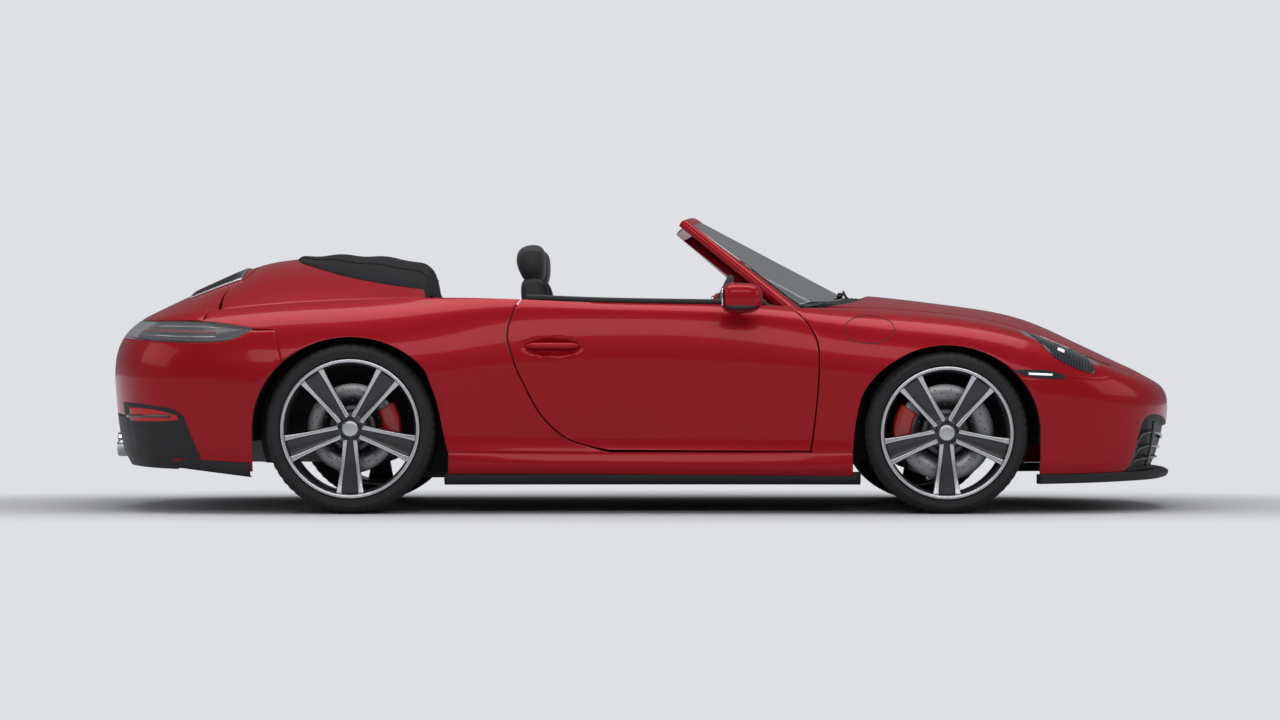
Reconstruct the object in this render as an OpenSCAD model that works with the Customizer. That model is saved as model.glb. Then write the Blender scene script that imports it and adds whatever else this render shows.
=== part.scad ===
// Two-door convertible car with its soft top folded away and the steering wheel on the left.
// X points forward, Y to the car's left, Z up. The origin is on the ground, in the middle of the length.

/* [Body] */
// Distance between the two axles
wheelbase = 2450; // [2040:5:2940]
// Body length ahead of the front axle
front_overhang = 1017; // [850:1:1220]
// Body length behind the rear axle
rear_overhang = 1072; // [893:1:1286]
// Width of the body without its mirrors
body_width = 1852; // [1640:2:2220]
// Height of the windscreen's top rail above the ground
body_height = 1252; // [1150:2:1500]

/* [Panels] */
// Thickness of a bumper, fender or quarter panel
panel = 6; // [5:0.5:7.5]
// Depth of a lid with its inner frame
lid_depth = 22; // [18:1:28]
// Gap round a door or a lid
shut_gap = 5; // [5:0.5:6]
// Seam between two fixed panels
seam = 0.6; // [0.5:0.1:0.8]
// Distance of a door's inner face from the middle of the car
door_inner = 745; // [740:1:760]
// Thickness of the windscreen glass
glass = 5; // [4:0.5:6]
// Width of the windscreen frame across its bar
pillar_w = 42; // [35:1:50]
// Depth of the windscreen frame
pillar_d = 40; // [30:1:48]

/* [Wheels] */
// Outer radius of a front tyre
front_tyre_r = 333; // [300:1:350]
// Outer radius of a rear tyre
rear_tyre_r = 350; // [310:1:365]
// Width of a front tyre
front_tyre_w = 245; // [205:1:260]
// Width of a rear tyre
rear_tyre_w = 305; // [254:1:330]
// Outer radius of a front rim
front_rim_r = 273; // [250:1:290]
// Outer radius of a rear rim
rear_rim_r = 286; // [255:1:305]
// Distance of a front tyre's outer face inside the body's side
front_inset = 22; // [18:1:40]
// Distance of a rear tyre's outer face inside the body's side
rear_inset = 16; // [12:1:40]
// Gap between tyre and wheel arch, fore and aft
arch_side = 52; // [45:1:60]
// Gap between tyre and wheel arch at the top
arch_top = 27; // [20:1:35]
// Radius of a front brake disc
front_disc_r = 200; // [167:1:215]
// Radius of a rear brake disc
rear_disc_r = 186; // [155:1:215]
// Radius of a wheel's axle stub
stub_r = 30; // [25:1:36]
// Running clearance of hubs and kingpins
running = 0.1; // [0.05:0.01:0.2]
// Radius of a kingpin
kingpin_r = 14; // [11:1:17]
// Distance of a kingpin inside the middle of its tyre
kingpin_offset = 50; // [40:1:60]
// Largest steering angle of a front wheel
steer_limit = 35; // [28:1:38]

/* [Hinges] */
// Radius of the hinge pins
hinge_pin_r = 5; // [4:0.5:6]
// Clearance round a hinge pin
hinge_play = 0.3; // [0.2:0.1:0.5]
// Width of a hinge arm
hinge_arm_w = 20; // [16:1:24]

/* [Cabin] */
// Distance of a front seat's middle from the middle of the car
seat_y = 370; // [350:1:390]
// Width of a front seat
seat_w = 500; // [420:1:520]
// Radius of the steering wheel's ring
steering_r = 178; // [150:1:190]
// Angle of the steering column above level
column_tilt = 24; // [18:1:30]

/* [Hidden] */
$fn = 48;

red = [0.56, 0.07, 0.12];
black = [0.07, 0.07, 0.08];
grey = [0.3, 0.3, 0.32];
silver = [0.72, 0.73, 0.75];

// The base design's axles and its two ends along the car, its half width and its height.
base_front = 1260;
base_rear = -1190;
base_nose = 2277;
base_tail = -2262;
base_width = 1852;
base_height = 1252;
belt = 900;

half_length = (rear_overhang + wheelbase + front_overhang) / 2;
front_x = half_length - front_overhang;
rear_x = front_x - wheelbase;

// Base places to real places: along the car, across it, and above the belt line.
function X(x) = x > base_front ? front_x + (x - base_front) * front_overhang / (base_nose - base_front)
    : x < base_rear ? rear_x + (x - base_rear) * rear_overhang / (base_rear - base_tail)
    : rear_x + (x - base_rear) * wheelbase / (base_front - base_rear);
function Y(y) = y * body_width / base_width;
function Z(z) = z < belt ? z : belt + (z - belt) * (body_height - belt) / (base_height - belt);
function P(p) = [X(p.x), Y(p.y), Z(p.z)];
// A side-view place [x, z] and a plan place [x, y]
function XZ(p) = [X(p.x), Z(p.y)];
function XY(p) = [X(p.x), Y(p.y)];

// Frames of the body side from tail to nose: the plan place of the waist, then for eight levels
// from the bottom edge to the shut line of the lids the inset from the waist and the height.
ring = [
  [-2262,   0, [70,190],[40,250],[18,350],[6,470],[0,600],[22,700],[70,768],[132,813]],
  [-2234, 330, [70,190],[40,250],[18,350],[6,470],[0,600],[22,700],[70,768],[132,813]],
  [-2165, 600, [70,190],[40,250],[18,350],[6,470],[0,600],[24,700],[74,768],[140,812]],
  [-2030, 785, [60,185],[34,245],[16,345],[5,470],[0,600],[28,700],[84,775],[150,818]],
  [-1810, 878, [50,180],[28,240],[14,345],[4,470],[0,600],[28,705],[90,790],[165,838]],
  [-1500, 916, [40,172],[20,230],[10,340],[2,460],[0,590],[26,705],[94,812],[180,864]],
  [-1190, 926, [36,168],[14,220],[8,330],[2,450],[0,585],[24,710],[96,825],[190,880]],
  [-880,  914, [40,166],[14,212],[22,320],[10,450],[0,590],[20,715],[76,830],[150,888]],
  [-560,  892, [42,165],[12,206],[36,298],[20,440],[0,600],[12,730],[42,835],[84,884]],
  [-200,  880, [42,163],[12,203],[38,290],[22,430],[0,610],[10,740],[34,832],[72,868]],
  [170,   876, [42,161],[12,201],[38,288],[22,430],[0,610],[10,740],[32,826],[70,862]],
  [540,   880, [42,158],[12,198],[36,286],[20,430],[0,605],[14,730],[44,818],[100,856]],
  [900,   896, [42,156],[12,196],[26,290],[12,430],[0,590],[22,710],[84,808],[220,848]],
  [1260,  912, [40,158],[16,200],[10,300],[2,430],[0,560],[26,690],[116,796],[320,826]],
  [1580,  898, [40,162],[20,210],[10,310],[3,430],[0,540],[34,655],[126,748],[320,776]],
  [1850,  846, [44,166],[24,214],[12,310],[4,410],[0,500],[30,585],[110,655],[260,688]],
  [2055,  728, [50,170],[28,220],[14,300],[4,385],[0,465],[20,530],[66,575],[150,612]],
  [2185,  540, [56,172],[32,224],[16,300],[4,380],[0,455],[14,505],[48,545],[110,580]],
  [2252,  285, [60,174],[36,228],[18,300],[4,375],[0,452],[12,498],[40,532],[98,565]],
  [2272,    0, [62,175],[38,230],[18,300],[4,375],[0,450],[12,496],[38,528],[96,560]]];
last = len(ring) - 1;
top_level = 7;

// Place of frame i at level j. Beyond either end the frames repeat on the other side of the car.
function waist(i) = i < 0 ? [X(ring[-i][0]), -Y(ring[-i][1])]
    : i > last ? [X(ring[2 * last - i][0]), -Y(ring[2 * last - i][1])]
    : [X(ring[i][0]), Y(ring[i][1])];
function inner_place(i, j) = let(t = waist(i + 1) - waist(i - 1), n = [-t.y, t.x] / norm(t), q = ring[i][j + 2])
    [waist(i).x - n.x * q[0], waist(i).y - n.y * q[0], Z(q[1])];
function place(i, j) = i < 0 ? mirrored(place(-i, j))
    : i > last ? mirrored(place(2 * last - i, j))
    : j < 0 ? inner_place(i, 0) + (inner_place(i, 1) - inner_place(i, 0)) * j
    : j > top_level ? inner_place(i, top_level) + (inner_place(i, top_level) - inner_place(i, top_level - 1)) * (j - top_level)
    : inner_place(i, j);
function mirrored(p) = [p.x, -p.y, p.z];

// Control net of the cubic B-spline surface that passes close to all frames
raw = [for (i = [-2:last + 2]) [for (j = [-2:top_level + 2]) place(i, j)]];
bent = [for (i = [1:len(raw) - 2]) [for (j = [0:len(raw[0]) - 1])
    raw[i][j] - (raw[i - 1][j] - 2 * raw[i][j] + raw[i + 1][j]) / 6]];
net = [for (r = bent) [for (j = [1:len(r) - 2]) r[j] - (r[j - 1] - 2 * r[j] + r[j + 1]) / 6]];
function spline(t) = [(1 - t) ^ 3, 3 * t ^ 3 - 6 * t ^ 2 + 4, -3 * t ^ 3 + 3 * t ^ 2 + 3 * t + 1, t ^ 3] / 6;

// Point of the body side at frame number u and level v
function side(q) = let(u = min(max(q.x, 0), last - 1e-6), v = min(max(q.y, 0), top_level - 1e-6),
    i = floor(u), j = floor(v), a = spline(u - i), b = spline(v - j))
    a * [for (k = [0:3]) b * [for (l = [0:3]) net[i + k][j + l]]];
function side_normal(q) = let(e = 0.02, n = cross(side(q + [0, e]) - side(q - [0, e]), side(q + [e, 0]) - side(q - [e, 0])))
    n / norm(n);

// Frame number and level of the place that lies at x and z in side view
frame_places = [for (i = [0:last]) [waist(i).x, i]];
function hit(p) = seek(p, [lookup(p.x, frame_places), 3.5], 9);
function seek(p, q, left) = left == 0 ? q : let(o = side(q), e = q.x > last / 2 ? -0.02 : 0.02,
    f = q.y > top_level / 2 ? -0.02 : 0.02, a = (side(q + [e, 0]) - o) / e, b = (side(q + [0, f]) - o) / f,
    d = a.x * b.z - b.x * a.z, gx = p.x - o.x, gz = p.y - o.z,
    s = [(gx * b.z - gz * b.x) / d, (a.x * gz - a.z * gx) / d])
    seek(p, [min(max(q.x + min(max(s.x, -2), 2), 0.05), last - 0.05), min(max(q.y + min(max(s.y, -2), 2), 0), top_level)], left - 1);
function hits(list) = [for (p = list) hit(p)];

// Smooth line through points, in equal steps of its length
function knots(p, k) = p[min(max(k, 0), len(p) - 1)];
function smooth(p) = len(p) == 2 ? p : [for (k = [0:len(p) - 2], s = [0:7]) let(t = s / 8, a = knots(p, k - 1), b = knots(p, k),
    c = knots(p, k + 1), d = knots(p, k + 2)) b + (c - a) * t / 2 + (2 * a - 5 * b + 4 * c - d) * t ^ 2 / 2
    + (3 * b - a - 3 * c + d) * t ^ 3 / 2, p[len(p) - 1]];
function lengths(p, k = 0, sum = 0, list = [0]) = k == len(p) - 1 ? list
    : let(s = sum + norm(p[k + 1] - p[k])) lengths(p, k + 1, s, concat(list, [s]));
function steps(p, n) = let(l = lengths(p)) [for (i = [0:n]) let(s = l[len(l) - 1] * i / n)
    [for (c = [0:len(p[0]) - 1]) lookup(s, [for (k = [0:len(l) - 1]) [l[k], p[k][c]]])]];
function line(p, n) = steps(smooth(p), n);
// Lists end to end, without the doubled points where they meet
function chain(lists) = [for (k = [0:len(lists) - 1]) for (i = [k == 0 ? 0 : 1:len(lists[k]) - 1]) lists[k][i]];
function shift(p, d) = [for (q = p) q + d];
// A line in side view moved sideways, to its left as it runs
function beside(p, d) = [for (k = [0:len(p) - 1]) let(t = knots(p, k + 1) - knots(p, k - 1)) p[k] + [-t.y, t.x] * d / norm(t)];

// Points between four edge lines: low and high run along, from and to run across. The shape of
// the two cross lines fades out along the patch with the given power.
function between(low, high, from, to, power = 1) = let(n = len(low) - 1, m = len(from) - 1) [for (i = [0:n]) let(s = i / n)
    [for (j = [0:m]) let(t = j / m) (1 - t) * low[i] + t * high[i] + (1 - s) ^ power * (from[j] - (1 - t) * from[0] - t * from[m])
    + s ^ power * (to[j] - (1 - t) * to[0] - t * to[m])]];
function on_side(g) = [for (r = g) [for (q = r) side(q)]];
// The inner face of a panel: square to the skin, but straight down at the shut line of the lids.
// Along the foot of a side panel it is level, and along its door edge it lies straight inwards.
function level(n) = [n.x, n.y, 0] / norm([n.x, n.y]);
function under_side(g, depth, foot = false, door_row = -1) = [for (i = [0:len(g) - 1]) [for (j = [0:len(g[0]) - 1])
    let(q = g[i][j], n = side_normal(q)) side(q) - depth * (i == door_row ? [0, 1, 0]
    : q.y > top_level - 0.03 ? [0, 0, 1] : foot && j == 0 ? level(n) : n)]];
function reversed(g) = [for (i = [len(g) - 1:-1:0]) g[i]];

// Solid between two sheets of points, the outer one seen with its lines running clockwise. A twin
// sheet has its first half split into triangles as the mirror image of the second.
module plate(outer, inner, twin = false) {
  n = len(outer) - 1;
  m = len(outer[0]) - 1;
  w = m + 1;
  q = (n + 1) * w;
  faces = concat(
    [for (i = [0:n - 1], j = [0:m - 1]) let(a = i * w + j) twin && i < n / 2 ? [a + w, a + w + 1, a + 1, a] : [a, a + w, a + w + 1, a + 1]],
    [for (i = [0:n - 1], j = [0:m - 1]) let(a = q + i * w + j) twin && i < n / 2 ? [a + 1, a + w + 1, a + w, a] : [a, a + 1, a + w + 1, a + w]],
    [for (i = [0:n - 1]) [(i + 1) * w, i * w, q + i * w, q + (i + 1) * w]],
    [for (i = [0:n - 1]) let(a = i * w + m) i < n / 2 ? [a + w, q + a + w, q + a, a] : [a, a + w, q + a + w, q + a]],
    [for (j = [0:m - 1]) [j, j + 1, q + j + 1, q + j]],
    [for (j = [0:m - 1]) [n * w + j + 1, n * w + j, q + n * w + j, q + n * w + j + 1]]);
  polyhedron(points = [for (r = concat(outer, inner)) each r],
    faces = [for (f = faces) each [[f[0], f[1], f[2]], [f[0], f[2], f[3]]]], convexity = 8);
}
module pair() {
  children();
  mirror([0, 1, 0]) children();
}
// Box between two corners of the base design
module box(a, b) { translate(P(a)) cube(P(b) - P(a)); }
module across(x, y, z, r, h) { translate([x, y, z]) rotate([-90, 0, 0]) cylinder(r = r, h = h); }

// Height of the lids over the body: a crown line along the middle and the shut line at each side
shut_line = [for (k = [0:95]) side([last * k / 95, top_level])];
edge_y = [for (p = shut_line) [p.x, p.y]];
edge_z = [for (p = shut_line) [p.x, p.z]];
crown = smooth([for (p = [[-2130,813],[-2080,838],[-1909,921],[-1655,1034],[-1481,1069],[-1330,1078],[-1175,1075],[-1006,1058],[-867,1030],[-536,1000],
    [300,960],[905,912],[980,909],[1054,903],[1260,879],[1526,841],[1700,792],[1886,706],[2040,632],[2120,594],[2176,560]]) XZ(p)]);
function crown_z(x) = lookup(x, [for (p = crown) [p.x, p.y]]);
function lid_z(x, y) = let(w = lookup(x, edge_y), e = lookup(x, edge_z), s = min(abs(y) / max(w, 1), 1), power = x > 0 ? 2 : 2.3)
    e + (crown_z(x) - e) * (1 - s ^ power);
function on_lid(g, rise = 0) = [for (r = g) [for (p = r) [p.x, p.y, lid_z(p.x, p.y) + rise]]];
function plan(p) = [p.x, p.y];

// Shared places of the floor, the rails and the bulkheads
floor_z = 140;
rail_y = Y(700);
wall = 12;
rail_w = 80;
rail_h = 200;
rear_rail = [Y(370), Y(440)];
rear_rail_z = [340, 430];
post_top = 795;
pillar_top = 770;
sill_top = 252;
post_foot = sill_top + 3;
firewall = [X(840), X(840) + 40];
firewall_top = 755;
cowl_depth = 30;
cowl_drop = 10;

// Wheel arches in side view, from the level line through the wheel's middle
function arch(x, r, a, b, n) = [for (i = [0:n]) let(c = a + (b - a) * i / n) [x + (r + arch_side) * cos(c), r + (r + arch_top) * sin(c)]];
front_half = front_tyre_r + arch_side;
rear_half = rear_tyre_r + arch_side;
// Angle at which an arch passes a height
function arch_angle(r, z) = asin((z - r) / (r + arch_top));

// Edges of the doors in side view
door_front = [for (p = [[722,380],[733,502],[738,600],[737,674],[724,730],[702,768],[668,812],[634,846]]) XZ(p)];
door_rear = [for (p = [[-210,275],[-294,302],[-352,344],[-407,401],[-445,462],[-478,528],[-512,600],[-534,669],[-546,705],[-548,739],[-545,768],[-538,796],[-520,840],[-493,884]]) XZ(p)];
split_z = 560;
// Bumper edges: the seam behind the nose, and the seam from the rear arch to the tail lamp
nose_seam = [for (p = [[1800,557],[1900,553],[1945,565],[1965,600]]) XZ(p)];

// Edge lines in frame numbers and levels: tail lamp, openings under the bumpers, headlamp
lamp_high = [[0, 6.66], [1, 6.66], [2, 6.6], [3, 6.4], [3.8, 6.12], [4.3, 5.8], [4.68, 5.52]];
lamp_low = [[0, 5.4], [1, 5.4], [2, 5.3], [3, 5.12], [3.8, 5], [4.3, 5.04], [4.52, 5.22], [4.68, 5.48]];
lid_corner = [3.9, top_level];
// Gaps at the tail lamp as parts of a level, and beside the engine lid as a part of a frame step
lamp_seam = 0.012;
lamp_gap = 0.08;
lid_side_gap = 0.066;
tail_vent = [[0, 2.5], [1, 2.5], [2, 2.45], [2.75, 2.3], [3.1, 1.6], [3.6, 0.3]];
nose_vent = [[16, 0.25], [16.1, 1.4], [16.25, 2.9], [16.6, 3.3], [17.2, 3.2], [18, 2.8], [19, 2.75]];
lamp_outer = [[14.1, 5.95], [14.35, 5.5], [14.85, 5.25], [15.2, 5.35]];
lamp_inner = [[14.15, 6.8], [14.5, 6.85], [15.0, 6.7], [15.35, 6.3]];
lamp_back = [[14.1, 5.95], [14.04, 6.4], [14.15, 6.8]];
lamp_front = [[15.2, 5.35], [15.4, 5.8], [15.35, 6.3]];
nose_u = 15.65;
// The same lines in even steps, which the panels on both sides of them share
nose_line = steps(smooth(concat([[15.95, 0]], nose_vent)), 14);
tail_line = steps(smooth(tail_vent), 14);
lamp_line = steps(smooth(lamp_low), 16);

tail_seam_top = [X(-1500), 757];
seam_level = 620;

function door_front_from(z) = concat([[X(705), z]], door_front);
function door_rear_from(z) = concat([[X(-125), z]], door_rear);
// A run of the shut line between two frame numbers
function shut(a, b, n) = [for (i = [0:n]) [a + (b - a) * i / n, top_level]];

// The seam between fender and front bumper, moved towards the bumper by d
function seam_line(d) = let(edge = steps(hits(beside(line(concat([[front_x + front_half * cos(front_angle), split_z]], nose_seam), 32), -d)), 8))
    chain([edge, steps([edge[8], [nose_u + (d > 0 ? 0.014 : 0), top_level]], 2)]);
// Front fender: from the door's edge to the seam behind the nose, over the arch
front_angle = arch_angle(front_tyre_r, split_z);
function fender_grid() = let(
    back = front_x - front_half,
    low = hits(chain([line([[X(705) + seam, sill_top + seam], [back, sill_top + seam]], 2),
        line([[back, sill_top + seam], [back, front_tyre_r]], 2),
        reversed(arch(front_x, front_tyre_r, front_angle, 180, 15))])),
    from = chain([[low[0]], hits(beside(line(door_front_from(sill_top + seam), 10), -seam))]),
    to = seam_line(0),
    high = steps(concat([from[10]], shut(12, nose_u, 8)), 19))
    between(low, high, steps(from, 10), to, 3);

// Front bumper, half: from the arch to the middle of the nose
function nose_grid() = let(
    foot = hit([front_x + front_half, 172]),
    low = chain([steps([[foot.x, 0], [15.95, 0]], 4), nose_line]),
    from = hits(chain([line([[front_x + front_half, 172], [front_x + front_half, front_tyre_r]], 3), arch(front_x, front_tyre_r, 0, front_angle - 0.1, 5)])),
    high = chain([seam_line(3 * seam), shut(nose_u + 0.014, last, 8)]),
    to = steps([low[18], [last, top_level]], 8))
    between(low, high, concat([low[0]], [for (k = [1:8]) from[k]]), to);

// Rear quarter: from the tail lamp over the arch to the door
rear_angle = 180 - arch_angle(rear_tyre_r, seam_level);
function quarter_grid() = let(
    ahead = rear_x + rear_half,
    low = hits(chain([arch(rear_x, rear_tyre_r, rear_angle, 0, 16),
        line([[ahead, rear_tyre_r], [ahead, sill_top + seam]], 3),
        line([[ahead, sill_top + seam], [X(-125) - seam, sill_top + seam]], 7)])),
    tip = [4.73, 5.5],
    up = steps(concat([low[0], hit(tail_seam_top), tip], [for (k = [5:-1:4]) lamp_high[k] + [0, 3 * lamp_seam]], [lid_corner + [0.02, -0.8], lid_corner]), 12),
    to = hits(beside(line(door_rear_from(sill_top + seam), 12), seam)),
    high = steps([lid_corner, [to[12].x, top_level]], 26))
    between(low, high, up, concat([low[26]], [for (k = [1:12]) to[k]]), 6);

// Rear bumper, half: from the middle of the tail to the arch
function tail_grid() = let(
    flank = rear_x - rear_half,
    foot = hit([flank, 176]),
    low = chain([tail_line, steps([tail_vent[5], [3.8, 0], [foot.x, 0]], 5)]),
    high = concat([for (q = lamp_line) q - [0, lamp_seam]], [[4.76, 5.44], hit(tail_seam_top) - [0, 0.02], hit([rear_x + rear_half * cos(rear_angle) - seam, seam_level - seam])]),
    from = steps([low[0], high[0]], 8),
    to = hits(chain([line([[flank, 176], [flank, rear_tyre_r]], 3), arch(rear_x, rear_tyre_r, 180, rear_angle + 0.1, 5)])))
    between(low, high, from, concat([low[19]], [for (k = [1:7]) to[k]], [high[19]]));
function both_tail(g) = concat([for (i = [len(g) - 1:-1:1]) [for (p = g[i]) mirrored(p)]], g);
function both_nose(g) = concat(g, [for (i = [len(g) - 2:-1:0]) [for (p = g[i]) mirrored(p)]]);

module shell(g, depth, foot = false, door_row = -1) { plate(on_side(g), under_side(g, depth, foot, door_row)); }
module tail_shell(g, depth) { plate(both_tail(on_side(g)), both_tail(under_side(g, depth)), true); }
module nose_shell(g, depth) { plate(both_nose(on_side(g)), both_nose(under_side(g, depth)), true); }
// Sheet of a panel pressed flat against a plane at distance y from the middle
function flat_inside(g, y) = [for (r = g) [for (p = r) [p.x, y, p.z]]];

headlamp_grid = between(line(lamp_outer, 8), line(lamp_inner, 8), line(lamp_back, 6), line(lamp_front, 6));
lamp_middle = [14.75, 6.1];
function grown(g, k) = [for (r = g) [for (q = r) lamp_middle + (q - lamp_middle) * k]];

module front_fenders() {
  color(red) pair() difference() {
    shell(fender_grid(), panel, true, 0);
    plate([for (r = grown(headlamp_grid, 1.016)) [for (q = r) side(q) + 40 * side_normal(q)]], under_side(grown(headlamp_grid, 1.016), 60));
  }
}
module headlamps() { color(silver) pair() shell(headlamp_grid, 45); }
module front_bumper() { color(red) nose_shell(nose_grid(), panel); }
module rear_quarters() { color(red) pair() shell(quarter_grid(), panel, true, 26); }
module rear_bumper() { color(red) tail_shell(tail_grid(), panel); }
module tail_lamp() {
  color(silver) tail_shell(between(lamp_line, steps(smooth(lamp_high), 16), steps([lamp_low[0], lamp_high[0]], 3), [lamp_low[7], lamp_low[7] + [0, 0.01], lamp_high[6] - [0, 0.01], lamp_high[6]]), 20);
}
// Black lower part of the tail, and the openings under the nose
module rear_diffuser() {
  high = [for (q = tail_line) q - [0.001, 0.007]];
  color(black) difference() {
    tail_shell(between([for (q = high) [min(q.x, 3.5), 0]], high, steps([[0, 0], high[0]], 4), steps([[3.5, 0], high[14]], 4)), 30);
    pair() pipe_bore(pipe_r + seam);
  }
}
module front_intakes() {
  high = [for (q = nose_line) if (q.y > 0.4) q + [0.001, -0.007]];
  n = len(high) - 1;
  color(black) nose_shell(between([for (q = high) [q.x, 0]], high, steps([[high[0].x, 0], high[0]], 4), steps([[last, 0], high[n]], 4)), 30);
}
module sills() {
  a = rear_x + rear_half;
  b = front_x - front_half;
  high = hits(line([[a, sill_top], [b, sill_top]], 12));
  g = between([for (q = high) [q.x, 0]], high, steps([[high[0].x, 0], high[0]], 3), steps([[high[12].x, 0], high[12]], 3));
  color(red) pair() plate(on_side(g), flat_inside(on_side(g), rail_y));
}
splitter_out = [4, 64];
splitter_depth = 40;
module front_splitter() {
  foot_u = hit([front_x + front_half, 172]).x;
  edge = [for (k = [0:16]) [foot_u + (last - foot_u) * k / 16, 0]];
  function reach(q) = let(t = min(max((q.x - 15.8) / 2.2, 0), 1)) splitter_out[0] + (splitter_out[1] - splitter_out[0]) * t * t * (3 - 2 * t);
  function sheet(drop) = [for (q = edge) let(p = side(q), n = side_normal(q), m = [n.x, n.y, 0] / norm([n.x, n.y])) [p + m * reach(q) - [0, 0, drop], p - m * 50 - [0, 0, drop]]];
  color(black) plate(both_nose(sheet(seam)), both_nose(sheet(splitter_depth)));
}

// Doors: the whole thickness from the outer skin to the flat inner face
hinge_x = X(665);
hinge_y = Y(926) - 76;
hinge_heights = [505, 655];
mirror_x = 400;
mirror_foot = side([lookup(X(mirror_x), frame_places), 6.6]);
module door_left() {
  g = let(to = hits(beside(line(door_front_from(sill_top + shut_gap), 12), shut_gap)),
    from = hits(beside(line(door_rear_from(sill_top + shut_gap), 12), -shut_gap)),
    low = steps([from[0], to[0]], 16),
    high = steps([[from[12].x, top_level], [to[12].x - 0.03, top_level]], 16))
    between(low, high, concat([for (k = [0:11]) from[k]], [high[0]]), concat([for (k = [0:11]) to[k]], [high[16]]));
  color(red) difference() {
    plate(on_side(g), flat_inside(on_side(g), Y(door_inner)));
    for (z = hinge_heights) translate([hinge_x - hinge_pin_r - 8, Y(door_inner) - 10, z - hinge_arm_w / 2 - 6])
      cube([200, hinge_y + hinge_pin_r + 7 - Y(door_inner) + 10, hinge_arm_w + 12]);
    translate(mirror_foot - [0, 0, 16]) cylinder(r = spigot_r + hinge_play, h = 40);
    translate([hinge_x, hinge_y, hinge_heights[0] - 40]) cylinder(r = hinge_pin_r + hinge_play, h = hinge_heights[1] - hinge_heights[0] + 80);
  }
}
module door_right() { mirror([0, 1, 0]) door_left(); }
card_x = [-470, 520];
card_t = 26;
trim_h = 22;
module door_card_left() {
  y = Y(door_inner);
  xs = [for (k = [0:10]) X(card_x[0]) + (X(card_x[1]) - X(card_x[0])) * k / 10];
  function top(x) = lookup(x, edge_z) + 0.5;
  color(black) {
    translate([0, y, 0]) rotate([90, 0, 0]) linear_extrude(height = card_t) polygon(concat([[xs[0], 300], [xs[10], 300]], [for (k = [10:-1:0]) [xs[k], top(xs[k]) + trim_h / 2]]));
    plate([for (x = xs) [[x, lookup(x, edge_y) - 8, top(x) + trim_h], [x, y - card_t - 2, top(x) + trim_h]]],
      [for (x = xs) [[x, lookup(x, edge_y) - 8, top(x)], [x, y - card_t - 2, top(x)]]]);
    translate([X(-260), y - 86, 560]) cube([X(260) - X(-260), 61, 50]);
  }
}
module door_card_right() { mirror([0, 1, 0]) door_card_left(); }
// Mirror on its foot above the door's shoulder
mirror_z = 872;
mirror_y = Y(960);
spigot_r = 9;
module mirror_left() {
  u = lookup(X(mirror_x), frame_places);
  base = between([[u - 0.12, 6.35], [u + 0.14, 6.35]], [[u - 0.12, 6.8], [u + 0.14, 6.8]], [[u - 0.12, 6.35], [u - 0.12, 6.8]], [[u + 0.14, 6.35], [u + 0.14, 6.8]]);
  function off(g, d) = [for (r = g) [for (q = r) side(q) + d * side_normal(q)]];
  stem = mirror_foot;
  color(red) translate([X(mirror_x) - 8, mirror_y, mirror_z]) hull() for (s = [[-38, -52, 26], [44, -44, 20], [-38, 48, 20], [26, 44, 14]])
    translate([s[0], s[1], 0]) cylinder(r = s[2], h = 90 + s[2], center = true, $fn = 20);
  color(black) {
    plate(off(base, 20), off(base, 0.8));
    translate([stem.x - 26, stem.y - 8, stem.z + 12]) cube([52, mirror_y - 66 - stem.y, 16]);
    translate(stem - [0, 0, 14]) cylinder(r = spigot_r, h = 30);
  }
}
module mirror_right() { mirror([0, 1, 0]) mirror_left(); }

// Lids over the body
hood_back = [for (p = [[980, 0], [968, 200], [935, 390], [875, 560], [800, 680], [742, 752]]) XY(p)];
hood_side_u = 17.3;
function hood_grid() = let(
    side_edge = [for (q = steps([[11.62, top_level], [hood_side_u, top_level]], 14)) side(q)],
    nose_edge = [for (q = steps([[last, top_level], [hood_side_u, top_level]], 8)) side(q)],
    to = steps([for (p = side_edge) plan(p)], 14),
    high = steps([for (p = nose_edge) plan(p)], 8),
    low = line(concat([for (k = [0:4]) hood_back[k]], [to[0]]), 8),
    from = steps([hood_back[0], high[0]], 14))
    between(low, high, from, to);
function inward(g, gap) = [for (i = [0:len(g) - 1]) [for (j = [0:len(g[0]) - 1]) let(p = g[i][j], d = [i == len(g) - 1 ? -1 : 0, (j == 0 ? 1 : 0) - (j == len(g[0]) - 1 ? 1 : 0)])
    p + [d.y * gap, d.x * gap]]];
module lid(g, depth, rise = 0) { plate(both_tail(on_lid(g, rise)), both_tail(on_lid(g, rise - depth))); }
lid_hinge = [X(722), 780];
lid_arm_y = Y(615);
module front_lid() {
  color(red) lid(inward(hood_grid(), shut_gap + 3), lid_depth);
  color(black) pair() difference() {
    union() {
      translate([lid_hinge.x, lid_arm_y - 5, lid_hinge.y - 12]) cube([X(980) - lid_hinge.x, 10, 24]);
      translate([X(940), lid_arm_y - 5, lid_hinge.y + 12]) cube([X(980) - X(940), 10, lid_z(X(980), lid_arm_y + 5) - lid_depth / 2 - lid_hinge.y - 12]);
      translate([lid_hinge.x, lid_arm_y - 5, lid_hinge.y]) rotate([-90, 0, 0]) cylinder(r = 14, h = 10);
    }
    translate([lid_hinge.x, lid_arm_y - 6, lid_hinge.y]) rotate([-90, 0, 0]) cylinder(r = hinge_pin_r + hinge_play, h = 12);
  }
}
module cowl() {
  base = [for (k = [0:10]) let(s = k / 10 * 0.84) plan(screen(s, 0)) + [3, 0]];
  front = line([for (k = [0:3]) hood_back[k]], 10);
  g = between(base, [for (k = [0:10]) [front[k].x - 6, min(front[k].y, base[k].y)]], steps([base[0], front[0] - [6, 0]], 3), steps([base[10], [front[10].x - 6, base[10].y]], 3));
  color(black) lid(g, cowl_depth, -cowl_drop);
}
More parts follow.
